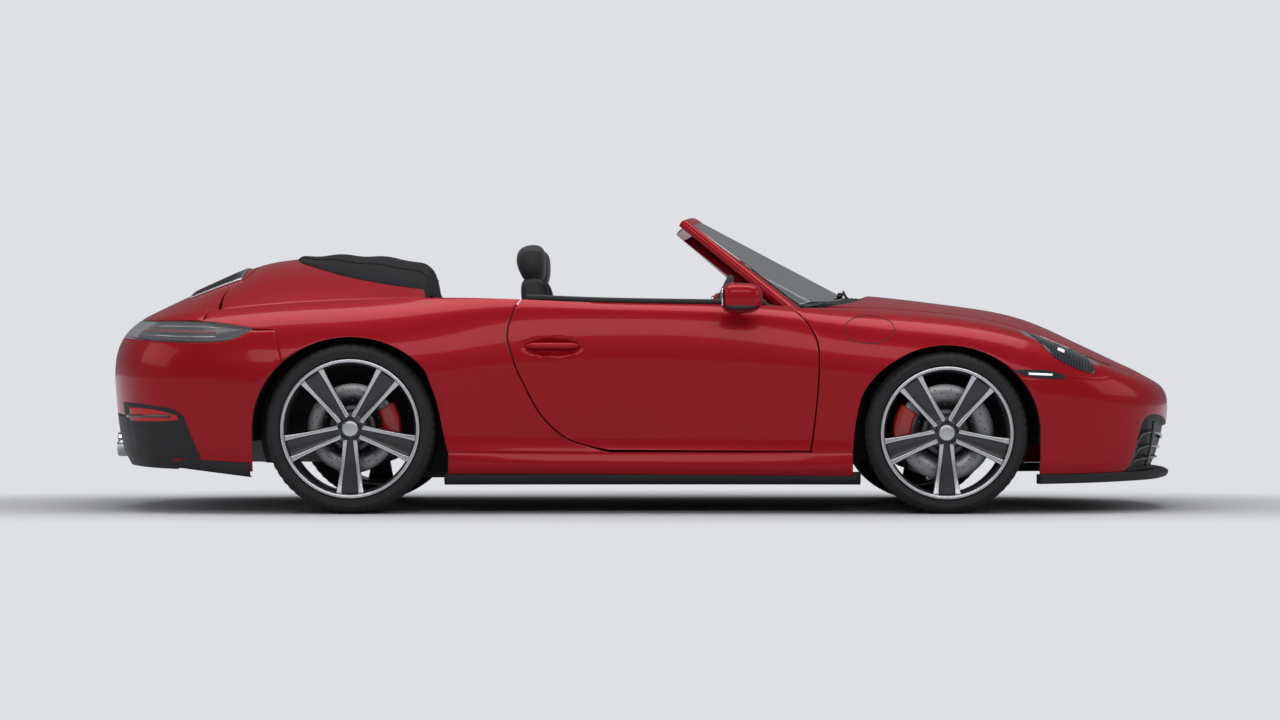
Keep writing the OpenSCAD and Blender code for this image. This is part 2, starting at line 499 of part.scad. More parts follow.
// Rear lids: plan lines from the middle outwards
lid_front = [for (p = [[-1645, 0], [-1648, 250], [-1672, 430], [-1740, 560], [-1795, 660]]) XY(p)];
soft_back = [for (p = [[-1481, 0], [-1470, 180], [-1434, 330]]) XY(p)];
soft_side = [for (p = [[-1434, 330], [-1345, 440], [-1234, 535], [-1035, 630], [-899, 672]]) XY(p)];
grille_x = [X(-1900), X(-1690)];
grille_y = Y(430);
engine_hinge = [X(-1545), 1000];
engine_arm_y = Y(150);
neck_r = 112;
module engine_lid() {
  rim = steps([[0, top_level], lid_corner - [lid_side_gap, 0]], 10);
  under = [for (q = rim) [q.x, lookup(q.x, lamp_high) + lamp_gap]];
  front = line(concat([for (k = [0:3]) lid_front[k]], [plan(side(lid_corner + [0.12, 0])) - [0, shut_gap + 2]]), 10);
  deck = on_lid(between([for (q = rim) plan(side(q))], front, steps([plan(side(rim[0])), front[0]], 6), steps([plan(side(rim[10])), front[10]], 6)));
  outer = [for (i = [0:10]) concat([side(under[i]), side((under[i] + rim[i]) / 2)], deck[i])];
  color(red) difference() {
    plate(both_tail(outer), both_tail([for (i = [0:10]) [for (j = [0:8]) let(p = outer[i][j], q = j == 0 ? under[i] : (under[i] + rim[i]) / 2) j < 2 ? p - 14 * side_normal(q) : p - [0, 0, lid_depth]]]));
    translate([grille_x[0], -grille_y, 700]) cube([grille_x[1] - grille_x[0], 2 * grille_y, 500]);
  }
  color(black) pair() translate([engine_hinge.x, engine_arm_y - 6, engine_hinge.y]) rotate([90, 0, 0]) mirror([0, 0, 1]) difference() {
    union() {
      rotate([0, 0, 172]) rotate_extrude(angle = 62) translate([neck_r, 0]) square([16, 12]);
      rotate([0, 0, 233]) translate([8, -16, 0]) cube([neck_r + 6, 16, 12]);
      cylinder(r = 14, h = 12);
    }
    translate([0, 0, -1]) cylinder(r = hinge_pin_r + hinge_play, h = 14);
  }
}
module engine_grille() {
  a = grille_x[0] + 0.4;
  b = grille_x[1] - 0.4;
  w = grille_y - 0.4;
  count = 17;
  function rib(y) = [for (i = [0, 1]) [for (j = [0:4]) [a + (b - a) * j / 4, y + i * 10]]];
  color(black) {
    for (k = [0:count - 1]) let(y = -w + (2 * w - 10) * k / (count - 1)) plate(on_lid(rib(y), -4), on_lid(rib(y), -lid_depth));
    for (x = [a, b - 8]) plate(on_lid([for (y = [-w, -w / 2, 0, w / 2, w]) [[x, y], [x + 8, y]]], -lid_depth - 0.3), on_lid([for (y = [-w, -w / 2, 0, w / 2, w]) [[x, y], [x + 8, y]]], -lid_depth - 8));
  }
}
module roof_lid() {
  n = 20;
  outer = concat(line(concat([for (k = [0:3]) lid_front[k]], [plan(side(lid_corner + [0.2, 0]))]), 10), [for (q = steps([lid_corner + [0.2, 0], [7, top_level]], 10)) if (q.x > 4.2) plan(side(q))]);
  inner = concat(line(soft_back, 6), [for (k = [1:14]) line(soft_side, 14)[k]]);
  g = between(outer, inner, steps([outer[0], inner[0]], 4), steps([outer[20], inner[20]], 4));
  color(red) union() {
    lid(inward_lid(g), lid_depth);
    pair() {
      translate([engine_hinge.x - 12, engine_arm_y + 6.5, engine_hinge.y - 12]) cube([24, 10, 40]);
      across(engine_hinge.x, engine_arm_y - 6, engine_hinge.y, hinge_pin_r, 14);
    }
  }
}
function inward_lid(g) = [for (i = [0:len(g) - 1]) [for (j = [0:len(g[0]) - 1]) let(t = j > 0 ? 0 : (i <= 10 ? shut_gap + 1 : seam) / norm(g[i][4] - g[i][0])) g[i][j] + (g[i][4] - g[i][0]) * t]];
module folded_top() {
  back = line(soft_back, 6);
  flank = line(soft_side, 14);
  front = steps([[X(-905), 0], soft_side[4]], 6);
  g = between(back, front, steps([back[0], front[0]], 14), flank);
  small = [for (i = [0:6]) [for (j = [0:14]) g[i][j] + [j == 0 ? seam : 0, i == 6 ? -seam : 0]]];
  top = [for (i = [0:6]) [for (j = [0:14]) let(p = small[i][j]) [p.x, p.y, lid_z(p.x, p.y) + (i == 6 || j == 0 ? 0 : j == 14 ? -20 : 8)]]];
  color(black) plate(both_tail(top), both_tail([for (r = top) [for (p = r) [p.x, p.y, p.z - 150]]]));
}

// Windscreen: s runs across, t up the glass
function screen(s, t) = (1 - t) * P([905 - 245 * abs(s) ^ 2.2, 690 * s, 890 - 40 * s ^ 2]) + t * P([262 - 50 * s ^ 2, 540 * s, 1229 - 25 * s ^ 2]);
function screen_normal(s, t) = let(n = cross(screen(s + 0.01, t) - screen(s - 0.01, t), screen(s, t + 0.01) - screen(s, t - 0.01))) n / norm(n);
pillar_s = pillar_w / (690 - 100);
module windscreen() {
  g = [for (i = [14:-1:0]) [for (j = [0:6]) [-0.9895 + 1.979 * i / 14, 0.9845 * j / 6]]];
  color([0.5, 0.6, 0.65, 0.5]) plate([for (r = g) [for (q = r) screen(q.x, q.y)]], [for (r = g) [for (q = r) screen(q.x, q.y) - glass * screen_normal(q.x, q.y)]]);
}
module windscreen_frame() {
  head = 0.03;
  foot = -0.05;
  rise = [for (k = [0:8]) foot + (0.985 - foot) * k / 8];
  inner = concat([for (t = rise) [0.99, t]], [for (k = [1:11]) [0.99 - 1.98 * k / 12, 0.985]], [for (k = [8:-1:0]) [-0.99, rise[k]]]);
  function outward(q) = let(s = sign(q.x) * (abs(q.x) > 0.98 ? abs(q.x) + pillar_s : abs(q.x) * (1 + pillar_s)), t = q.y > 0.98 ? 1.03 + head : foot + (q.y - foot) * (1.03 + head - foot) / (0.985 - foot)) [s, t];
  outer = [for (q = inner) outward(q)];
  face = [for (i = [0:len(inner) - 1]) [screen(inner[i].x, inner[i].y), screen(outer[i].x, outer[i].y)]];
  back = [for (i = [0:len(inner) - 1]) [screen(inner[i].x, inner[i].y) - pillar_d * screen_normal(inner[i].x, inner[i].y), screen(outer[i].x, outer[i].y) - pillar_d * 0.8 * screen_normal(inner[i].x, inner[i].y)]];
  color(red) plate(face, back);
}

// Floor, rails, bulkheads and the two tubs
steer_reach = (front_tyre_w / 2 - kingpin_offset) * cos(steer_limit) + front_tyre_r * sin(steer_limit);
front_plane = body_width / 2 - front_inset - front_tyre_w / 2;
rear_plane = body_width / 2 - rear_inset - rear_tyre_w / 2;
kingpin_y = front_plane - kingpin_offset;
tub_y = kingpin_y - steer_reach - 25;
tub_x = [X(950), X(1640)];
tub_z = [300, 690];
module hollow(a, b, w) {
  difference() {
    translate(a) cube(b - a);
    translate(a + [w, w, w]) cube(b - a - [2 * w, 2 * w, 0]);
  }
}
cowl_under = min([for (x = [0, 20, 40], y = [0, 400, 520, 540]) lid_z(firewall[0] + x, Y(y))]) - cowl_drop - cowl_depth;
body_x = X(-940);
narrow = Y(575);
floor_step = X(-780);
tunnel_y = Y(110);
tunnel_h = 190;
module floor_pan() {
  color(grey) pair() {
    translate([body_x + 40, tunnel_y, floor_z]) cube([floor_step - body_x - 39, narrow - tunnel_y, 30]);
    translate([floor_step, tunnel_y, floor_z]) cube([firewall[0] - floor_step, rail_y - rail_w - tunnel_y, 30]);
  }
}
module centre_tunnel() {
  color(grey) difference() {
    translate([body_x + 40, -tunnel_y, floor_z]) cube([firewall[0] - body_x - 40, 2 * tunnel_y, tunnel_h]);
    translate([body_x, -Y(60), floor_z - 1]) cube([firewall[1] - body_x, Y(120), 80]);
  }
}
module rail() { translate([floor_step, rail_y - rail_w, floor_z]) cube([firewall[0] - floor_step, rail_w, rail_h]); }
module side_rails() { color(grey) pair() rail(); }
// Front wall of the cabin with the posts of the windscreen and the pins of the doors and the lid
module firewall() {
  color(grey) {
    translate([firewall[0], -rail_y, floor_z]) cube([40, 2 * rail_y, firewall_top - floor_z]);
    translate([firewall[0], -Y(540), floor_z]) cube([40, Y(1080), cowl_under - 0.4 - floor_z]);
    pair() {
      difference() {
        union() {
          translate([X(600), Y(640), post_foot]) cube([X(745) - X(600), Y(715) - Y(640), post_top - post_foot]);
          translate([X(745), Y(640), post_foot]) cube([X(860) - X(745), Y(800) - Y(640), pillar_top - post_foot]);
        }
        rail();
      }
      across(lid_hinge.x, lid_arm_y - 6, lid_hinge.y, hinge_pin_r, Y(640) - lid_arm_y + 7);
      for (z = hinge_heights) {
        translate([hinge_x - 6, hinge_y - 62, z - hinge_arm_w / 2]) cube([12, 62, hinge_arm_w]);
        translate([hinge_x - 6, hinge_y - 72, z - hinge_arm_w / 2]) cube([X(745) - hinge_x + 7, 12, hinge_arm_w]);
        translate([hinge_x, hinge_y, z - hinge_arm_w / 2 - 25]) cylinder(r = hinge_pin_r, h = hinge_arm_w + 50);
      }
    }
  }
}
module rear_bulkhead() {
  color(grey) {
    translate([body_x, -narrow, floor_z]) cube([40, 2 * narrow, 600]);
    pair() translate([X(-2130), rear_rail[0], rear_rail_z[0]]) cube([body_x - X(-2130) + 1, rear_rail[1] - rear_rail[0], rear_rail_z[1] - rear_rail_z[0]]);
  }
}
module luggage_tub() {
  color(grey) {
    hollow([tub_x[0], -tub_y, tub_z[0]], [tub_x[1], tub_y, tub_z[1]], wall);
    translate([firewall[1], -tub_y, tub_z[0]]) cube([tub_x[0] - firewall[1] + 1, 2 * tub_y, 300]);
    translate([tub_x[1] - 1, -Y(300), 330]) cube([X(2150) - tub_x[1], Y(600), 90]);
  }
}
module engine_block() { color(grey) box([-2050, -370, 200], [-1340, 370, 700]); }

// Axle beams with their arms, and the stubs that carry the rear wheels
boss_r = kingpin_r + 13;
module front_axle() {
  z = front_tyre_r;
  color(grey) difference() {
    union() {
      translate([front_x - 60, -tub_y, z - 190]) cube([120, 2 * tub_y, 50]);
      translate([front_x - 50, -tub_y, z - 141]) cube([100, 2 * tub_y, tub_z[0] - z + 141]);
      pair() {
        translate([front_x - 28, tub_y - 1, z - 165]) cube([56, kingpin_y - tub_y + 1, 25]);
        translate([front_x, kingpin_y, z - 165]) cylinder(r = boss_r, h = 25);
        translate([front_x - 28, tub_y, z + 120]) cube([56, kingpin_y - tub_y, 25]);
        translate([front_x, kingpin_y, z + 120]) cylinder(r = boss_r, h = 25);
      }
    }
    pair() translate([front_x, kingpin_y, z - 200]) cylinder(r = kingpin_r + running, h = 400);
  }
}
disc_t = 34;
front_disc_y = front_plane;
rear_disc_y = rear_plane - 10;
module rear_axle() {
  z = rear_tyre_r;
  color(grey) {
    translate([rear_x - 60, -Y(440), z - 150]) cube([120, Y(880), 60]);
    pair() {
      translate([rear_x - 40, rear_rail[0], z - 100]) cube([80, rear_rail[1] - rear_rail[0] + 20, rear_rail_z[0] - z + 100]);
      translate([rear_x - 45, rear_rail[1] + 0.5, z - 100]) cube([90, rear_disc_y - disc_t / 2 - 12 - rear_rail[1] - 0.5, 140]);
      across(rear_x, rear_disc_y - disc_t / 2 - 13, z, stub_r, rear_plane + 70 - (rear_disc_y - disc_t / 2 - 13));
    }
  }
}
module caliper(x, y, z, r, a, b) {
  translate([x, y, z]) rotate([90, 0, 0]) rotate([0, 0, a]) difference() {
    rotate_extrude(angle = b - a) translate([r - 62, -disc_t / 2 - 26]) square([84, disc_t + 52]);
    rotate([0, 0, -1]) rotate_extrude(angle = b - a + 2) translate([r - 80, -disc_t / 2 - 3]) square([85, disc_t + 6]);
  }
}
module rear_calipers() {
  color([0.75, 0.1, 0.12]) pair() {
    caliper(rear_x, rear_disc_y, rear_tyre_r, rear_disc_r, -35, 35);
    translate([rear_x + 45, rear_disc_y - disc_t / 2 - 26, rear_tyre_r - 30]) cube([rear_disc_r - 62 - 44, 22, 60]);
  }
}
module knuckle_left() {
  z = front_tyre_r;
  color(grey) {
    translate([front_x, kingpin_y, z - 175]) cylinder(r = kingpin_r, h = 330);
    translate([front_x - 30, kingpin_y - 26, z - 138]) cube([60, front_disc_y - disc_t / 2 - 6 - kingpin_y + 26, 256]);
    across(front_x, front_disc_y - disc_t / 2 - 7, z, stub_r, front_plane + 60 - (front_disc_y - disc_t / 2 - 7));
    translate([front_x - 110, front_disc_y - disc_t / 2 - 26, z - 38]) cube([81, 20, 76]);
  }
}
module knuckle_right() { mirror([0, 1, 0]) knuckle_left(); }
module front_caliper_left() {
  color([0.75, 0.1, 0.12]) {
    caliper(front_x, front_disc_y, front_tyre_r, front_disc_r, 145, 215);
    translate([front_x - 140, front_disc_y - disc_t / 2 - 26, front_tyre_r - 38]) cube([30, 6, 76]);
  }
}
module front_caliper_right() { mirror([0, 1, 0]) front_caliper_left(); }

// Tyre, rim and brake disc of one corner
module tyre(x, plane, r, rim_r, w) {
  h = w / 2;
  color(black) translate([x, plane, r]) rotate([-90, 0, 0]) rotate_extrude($fn = 96)
    polygon([[rim_r - 8, -h + 22], [rim_r + 8, -h + 6], [(r + rim_r) / 2, -h], [r - 24, -h + 5], [r - 8, -h + 20], [r, -h + 46],
      [r, h - 46], [r - 8, h - 20], [r - 24, h - 5], [(r + rim_r) / 2, h], [rim_r + 8, h - 6], [rim_r - 8, h - 22],
      [rim_r - 8, h - 40], [r - 30, h - 40], [r - 30, -h + 40], [rim_r - 8, -h + 40]]);
}
spokes = 5;
module wheel(x, plane, r, rim_r, w, disc_y) {
  h = w / 2;
  face = h - 12;
  hub_in = disc_y - plane + disc_t / 2 + 2;
  color(silver) translate([x, plane, r]) rotate([-90, 0, 0]) {
    rotate_extrude($fn = 96) polygon([[rim_r - 8.3, -h + 40], [rim_r - 8.3, -h + 13.5], [rim_r, -h + 13.5], [rim_r, -h + 5.5], [rim_r - 24, -h + 5.5], [rim_r - 24, h - 50], [rim_r - 14, h - 5.5],
      [rim_r, h - 5.5], [rim_r, h - 13.5], [rim_r - 8.3, h - 13.5], [rim_r - 8.3, h - 39], [rim_r - 12, h - 60], [rim_r - 12, -h + 60]]);
    difference() {
      union() {
        translate([0, 0, hub_in]) cylinder(r = 78, h = face - 30 - hub_in);
        for (k = [0:spokes - 1]) rotate([0, 0, 90 + 360 / spokes * k]) for (s = [-1, 1])
          translate([0, 0, face - 48]) linear_extrude(height = 32)
            polygon([[40, s * 22 - 11], [40, s * 22 + 11], [rim_r - 20, s * 45 + 10], [rim_r - 20, s * 45 - 10]]);
        translate([0, 0, face - 31]) cylinder(r = 34, h = 20);
      }
      translate([0, 0, hub_in - 1]) cylinder(r = stub_r + running, h = 74 - hub_in);
    }
  }
}
module disc(x, y, r, radius, hub) {
  color(grey) translate([x, y, r]) rotate([-90, 0, 0]) difference() {
    union() {
      translate([0, 0, -disc_t / 2]) cylinder(r = radius, h = disc_t);
      cylinder(r = 76, h = disc_t / 2 + 1.7);
    }
    translate([0, 0, -disc_t]) cylinder(r = stub_r + running, h = 3 * disc_t);
    translate([0, 0, -disc_t / 2 - 1]) cylinder(r = 66, h = disc_t - 8);
  }
}
module front_tyre_left() { tyre(front_x, front_plane, front_tyre_r, front_rim_r, front_tyre_w); }
module front_tyre_right() { mirror([0, 1, 0]) front_tyre_left(); }
module rear_tyre_left() { tyre(rear_x, rear_plane, rear_tyre_r, rear_rim_r, rear_tyre_w); }
module rear_tyre_right() { mirror([0, 1, 0]) rear_tyre_left(); }
module front_wheel_left() { wheel(front_x, front_plane, front_tyre_r, front_rim_r, front_tyre_w, front_disc_y); }
module front_wheel_right() { mirror([0, 1, 0]) front_wheel_left(); }
module rear_wheel_left() { wheel(rear_x, rear_plane, rear_tyre_r, rear_rim_r, rear_tyre_w, rear_disc_y); }
module rear_wheel_right() { mirror([0, 1, 0]) rear_wheel_left(); }
module front_disc_left() { disc(front_x, front_disc_y, front_tyre_r, front_disc_r); }
module front_disc_right() { mirror([0, 1, 0]) front_disc_left(); }
module rear_disc_left() { disc(rear_x, rear_disc_y, rear_tyre_r, rear_disc_r); }
module rear_disc_right() { mirror([0, 1, 0]) rear_disc_left(); }

// Cabin
dash_y = Y(560);
column_r = 24;
module dashboard() {
  color(black) difference() {
    union() {
      translate([0, dash_y, 0]) rotate([90, 0, 0]) linear_extrude(height = 2 * dash_y)
    polygon([for (p = [[840, 600], [840, 790], [700, 845], [560, 868], [470, 866], [430, 830], [440, 760], [480, 700], [520, 600]]) XZ(p)]);
      translate([X(475), seat_y - 150, 860]) cube([X(560) - X(475), 300, 45]);
    }
    translate(wheel_hub) rotate([0, -90 + column_tilt, 0]) translate([0, 0, -160]) cylinder(r = column_r + hinge_play, h = 160);
  }
}
module centre_console() { color(black) box([-420, -95, 330], [500, 95, 470]); }
seat_side = [for (p = [[160, 330], [190, 400], [150, 440], [-180, 410], [-260, 470], [-395, 960], [-455, 985], [-505, 960], [-400, 420], [-330, 330]]) XZ(p)];
bolster_side = [for (p = [[140, 335], [170, 420], [60, 480], [-140, 500], [-300, 860], [-420, 900], [-470, 860], [-390, 400], [-320, 335]]) XZ(p)];
head_side = [for (p = [[-415, 965], [-400, 1100], [-440, 1120], [-510, 1105], [-525, 1060], [-470, 965]]) XZ(p)];
module seat_slab(outline, y, w) { translate([0, y + w / 2, 0]) rotate([90, 0, 0]) linear_extrude(height = w) polygon(outline); }
module front_seats() {
  color(black) for (s = [-1, 1]) {
    seat_slab(seat_side, s * seat_y, seat_w - 140);
    for (e = [-1, 1]) seat_slab(bolster_side, s * seat_y + e * (seat_w / 2 - 35), 70);
    seat_slab(head_side, s * seat_y, 250);
    translate([X(-300), s * seat_y - 200, floor_z + 30]) cube([X(120) - X(-300), 400, 330 - floor_z - 30]);
  }
}
module rear_seats() {
  color(black) pair() translate([0, Y(600), 0]) rotate([90, 0, 0]) linear_extrude(height = Y(470))
    polygon([for (p = [[-560, 171], [-560, 430], [-820, 400], [-860, 780], [-899, 780], [-899, 171]]) XZ(p)]);
}
// Trim beside and behind the seats, under the body's upper edge
module cabin_trim() {
  color(black) {
    pair() box([-820, 600, 380], [-560, 700, 884]);
    translate([X(-899), -Y(599), 780]) cube([60, Y(1198), 110]);
  }
}
wheel_hub = [X(330), seat_y, 835];
module steering_wheel() {
  color(black) translate(wheel_hub) rotate([0, -90 + column_tilt, 0]) {
    rotate_extrude() translate([steering_r, 0]) circle(r = 15);
    cylinder(r = 45, h = 40, center = true);
    for (a = [90, 180, 270]) rotate([0, 0, a]) translate([0, -14, -8]) cube([steering_r - 8, 28, 14]);
    translate([0, 0, -150]) cylinder(r = column_r, h = 140);
  }
}
pipe_r = 52;
pipe_wall = 5;
module pipe_bore(r) { translate([X(-2245), Y(160), 270]) rotate([0, 90, 0]) cylinder(r = r, h = 150); }
module tailpipes() {
  color(silver) pair() difference() {
    pipe_bore(pipe_r);
    translate([-20, 0, 0]) pipe_bore(pipe_r - pipe_wall);
  }
}

floor_pan();
centre_tunnel();
side_rails();
firewall();
rear_bulkhead();
luggage_tub();
engine_block();
front_axle();
rear_axle();
rear_calipers();
front_bumper();
front_splitter();
front_intakes();
front_fenders();
headlamps();
sills();
rear_quarters();
rear_bumper();
rear_diffuser();
tailpipes();
tail_lamp();
windscreen_frame();
windscreen();
cowl();
dashboard();
centre_console();
front_seats();
rear_seats();
cabin_trim();
roof_lid();
folded_top();
front_lid();
engine_lid();
engine_grille();
door_left();
door_right();
door_card_left();
door_card_right();
mirror_left();
mirror_right();
steering_wheel();
knuckle_left();
knuckle_right();
front_caliper_left();
front_caliper_right();
front_wheel_left();
front_wheel_right();
rear_wheel_left();
rear_wheel_right();
front_tyre_left();
front_tyre_right();
rear_tyre_left();
rear_tyre_right();
front_disc_left();
front_disc_right();
rear_disc_left();
rear_disc_right();
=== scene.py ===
"""Two-door convertible car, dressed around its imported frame: the visible pieces in the order a
car is put together, panels first, then lids, lamps, wheels and cabin."""

import bmesh
import bpy
import numpy as np
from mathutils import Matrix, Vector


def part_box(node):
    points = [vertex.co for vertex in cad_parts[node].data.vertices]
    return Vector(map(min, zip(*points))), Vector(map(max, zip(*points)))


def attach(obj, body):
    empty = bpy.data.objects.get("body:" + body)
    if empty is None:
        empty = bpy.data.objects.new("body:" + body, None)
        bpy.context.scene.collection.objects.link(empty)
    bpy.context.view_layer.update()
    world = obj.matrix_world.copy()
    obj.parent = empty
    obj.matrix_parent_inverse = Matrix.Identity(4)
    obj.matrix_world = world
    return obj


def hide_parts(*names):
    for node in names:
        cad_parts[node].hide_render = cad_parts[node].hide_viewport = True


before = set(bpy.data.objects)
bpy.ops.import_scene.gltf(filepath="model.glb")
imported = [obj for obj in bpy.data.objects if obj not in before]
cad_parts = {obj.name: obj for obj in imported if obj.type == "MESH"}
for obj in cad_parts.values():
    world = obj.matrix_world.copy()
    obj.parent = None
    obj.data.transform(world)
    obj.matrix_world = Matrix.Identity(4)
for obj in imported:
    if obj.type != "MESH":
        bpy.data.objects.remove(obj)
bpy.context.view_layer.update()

# ---- Side panels -------------------------------------------------------------------------------
# Front fenders, rear quarters and bumper skins: pressed steel and moulded plastic, all sprayed in
# the same deep red metallic lacquer, bolted to the shell with thin seams between them. They share
# one smooth surface, worked out from twenty frames of the body side between tail and nose.
shift_x = (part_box("front_tyre_left")[0].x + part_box("front_tyre_left")[1].x) / 2 - 1.260
front_x = 1.260 + shift_x
rear_x = -1.190 + shift_x
front_r, rear_r = 0.333, 0.350
front_half, rear_half = front_r + 0.052, rear_r + 0.052
arch_top = 0.027
panel, seam, sill_top, shut_gap = 0.006, 0.0006, 0.252, 0.005
top = 7

# One row a frame: place of the waist (along, across), then inset and height at eight levels
frames = np.array([
    [-2262, 0, 70, 190, 40, 250, 18, 350, 6, 470, 0, 600, 22, 700, 70, 768, 132, 813],
    [-2234, 330, 70, 190, 40, 250, 18, 350, 6, 470, 0, 600, 22, 700, 70, 768, 132, 813],
    [-2165, 600, 70, 190, 40, 250, 18, 350, 6, 470, 0, 600, 24, 700, 74, 768, 140, 812],
    [-2030, 785, 60, 185, 34, 245, 16, 345, 5, 470, 0, 600, 28, 700, 84, 775, 150, 818],
    [-1810, 878, 50, 180, 28, 240, 14, 345, 4, 470, 0, 600, 28, 705, 90, 790, 165, 838],
    [-1500, 916, 40, 172, 20, 230, 10, 340, 2, 460, 0, 590, 26, 705, 94, 812, 180, 864],
    [-1190, 926, 36, 168, 14, 220, 8, 330, 2, 450, 0, 585, 24, 710, 96, 825, 190, 880],
    [-880, 914, 40, 166, 14, 212, 22, 320, 10, 450, 0, 590, 20, 715, 76, 830, 150, 888],
    [-560, 892, 42, 165, 12, 206, 36, 298, 20, 440, 0, 600, 12, 730, 42, 835, 84, 884],
    [-200, 880, 42, 163, 12, 203, 38, 290, 22, 430, 0, 610, 10, 740, 34, 832, 72, 868],
    [170, 876, 42, 161, 12, 201, 38, 288, 22, 430, 0, 610, 10, 740, 32, 826, 70, 862],
    [540, 880, 42, 158, 12, 198, 36, 286, 20, 430, 0, 605, 14, 730, 44, 818, 100, 856],
    [900, 896, 42, 156, 12, 196, 26, 290, 12, 430, 0, 590, 22, 710, 84, 808, 220, 848],
    [1260, 912, 40, 158, 16, 200, 10, 300, 2, 430, 0, 560, 26, 690, 116, 796, 320, 826],
    [1580, 898, 40, 162, 20, 210, 10, 310, 3, 430, 0, 540, 34, 655, 126, 748, 320, 776],
    [1850, 846, 44, 166, 24, 214, 12, 310, 4, 410, 0, 500, 30, 585, 110, 655, 260, 688],
    [2055, 728, 50, 170, 28, 220, 14, 300, 4, 385, 0, 465, 20, 530, 66, 575, 150, 612],
    [2185, 540, 56, 172, 32, 224, 16, 300, 4, 380, 0, 455, 14, 505, 48, 545, 110, 580],
    [2252, 285, 60, 174, 36, 228, 18, 300, 4, 375, 0, 452, 12, 498, 40, 532, 98, 565],
    [2272, 0, 62, 175, 38, 230, 18, 300, 4, 375, 0, 450, 12, 496, 38, 528, 96, 560]]) / 1000
last = len(frames) - 1
flip_y = np.array([1, -1, 1])
sides = ((1, "left"), (-1, "right"))


def control_net():
    """Places of all frames, each level inset square to the waist line, two mirrored frames added
    beyond either end and two levels beyond top and bottom in a straight line, then every place
    moved by a sixth of its second difference, so that the B-spline passes through the frames."""
    waist = frames[:, :2] + [shift_x, 0]
    wide = np.concatenate([waist[1:3][::-1] * [1, -1], waist, waist[-3:-1][::-1] * [1, -1]])
    along = wide[3:-1] - wide[1:-3]
    out = np.stack([-along[:, 1], along[:, 0]], 1) / np.linalg.norm(along, axis=1)[:, None]
    inset, height = frames[:, 2::2], frames[:, 3::2]
    plan = waist[:, None] - out[:, None] * inset[..., None]
    at = np.concatenate([plan, height[..., None]], 2)
    low, high = at[:, 1] - at[:, 0], at[:, 7] - at[:, 6]
    at = np.stack([at[:, 0] - 2 * low, at[:, 0] - low, *at.transpose(1, 0, 2), at[:, 7] + high,
                   at[:, 7] + 2 * high], 1)
    at = np.concatenate([at[1:3][::-1] * flip_y, at, at[-3:-1][::-1] * flip_y])
    at = at[1:-1] - (at[:-2] - 2 * at[1:-1] + at[2:]) / 6
    return at[:, 1:-1] - (at[:, :-2] - 2 * at[:, 1:-1] + at[:, 2:]) / 6


net = control_net()


def side(q):
    """Point of the body side at frame number and level q: the uniform cubic B-spline of the
    control net, with four weights along and four up."""
    u, v = np.clip(q[..., 0], 0, last - 1e-6), np.clip(q[..., 1], 0, top - 1e-6)
    i, j = np.floor(u).astype(int), np.floor(v).astype(int)

    def weights(t):
        return np.stack([(1 - t) ** 3, 3 * t ** 3 - 6 * t ** 2 + 4,
                         -3 * t ** 3 + 3 * t ** 2 + 3 * t + 1, t ** 3], -1) / 6
    step = np.arange(4)
    near = net[(i[..., None] + step)[..., :, None], (j[..., None] + step)[..., None, :]]
    return np.einsum("...a,...b,...abc->...c", weights(u - i), weights(v - j), near)


def side_normal(q):
    """Outward normal of the body side: the cross product of its two slopes."""
    e, f = np.array([0.02, 0]), np.array([0, 0.02])
    n = np.cross(side(q + f) - side(q - f), side(q + e) - side(q - e))
    return n / np.linalg.norm(n, axis=-1, keepdims=True)


def hit(points):
    """Frame number and level of places x, z in side view: nine Newton steps from the waist."""
    p = np.asarray(points, float)
    q = np.stack([np.interp(p[..., 0], frames[:, 0] + shift_x, np.arange(last + 1)),
                  np.full(p.shape[:-1], 3.5)], -1)
    for _ in range(9):
        e = np.where(q[..., 0] > last / 2, -0.02, 0.02)[..., None]
        f = np.where(q[..., 1] > top / 2, -0.02, 0.02)[..., None]
        here = side(q)
        a = (side(q + np.concatenate([e, 0 * e], -1)) - here) / e
        b = (side(q + np.concatenate([0 * f, f], -1)) - here) / f
        gap = p - here[..., [0, 2]]
        d = a[..., 0] * b[..., 2] - b[..., 0] * a[..., 2]
        s = np.stack([(gap[..., 0] * b[..., 2] - gap[..., 1] * b[..., 0]) / d,
                      (a[..., 0] * gap[..., 1] - a[..., 2] * gap[..., 0]) / d], -1)
        q = np.clip(q + np.clip(s, -2, 2), [0.05, 0], [last - 0.05, top])
    return q


def steps(points, n):
    """n equal steps along the line through the points."""
    p = np.asarray(points, float)
    length = np.concatenate([[0], np.cumsum(np.linalg.norm(np.diff(p, axis=0), axis=1))])
    at = np.linspace(0, length[-1], n + 1)
    return np.stack([np.interp(at, length, p[:, k]) for k in range(p.shape[1])], 1)


def curve(points, n):
    """n equal steps along the smooth line through the points, a cubic between each two whose
    slope at a point is half the step from its neighbour before to its neighbour after."""
    p = np.asarray(points, float)
    if len(p) == 2:
        return steps(p, n)
    a, b, c, d = np.concatenate([p[:1], p[:-2]]), p[:-1], p[1:], np.concatenate([p[2:], p[-1:]])
    t = np.linspace(0, 1, 16, endpoint=False)[None, :, None]
    a, b, c, d = (k[:, None] for k in (a, b, c, d))
    fine = (b + (c - a) * t / 2 + (2 * a - 5 * b + 4 * c - d) * t ** 2 / 2
            + (3 * b - a - 3 * c + d) * t ** 3 / 2)
    return steps(np.concatenate([fine.reshape(-1, p.shape[1]), p[-1:]]), n)


def chain(*lines):
    """Lines end to end, each without its first point after the first line."""
    return np.concatenate([k if i == 0 else k[1:] for i, k in enumerate(lines)])


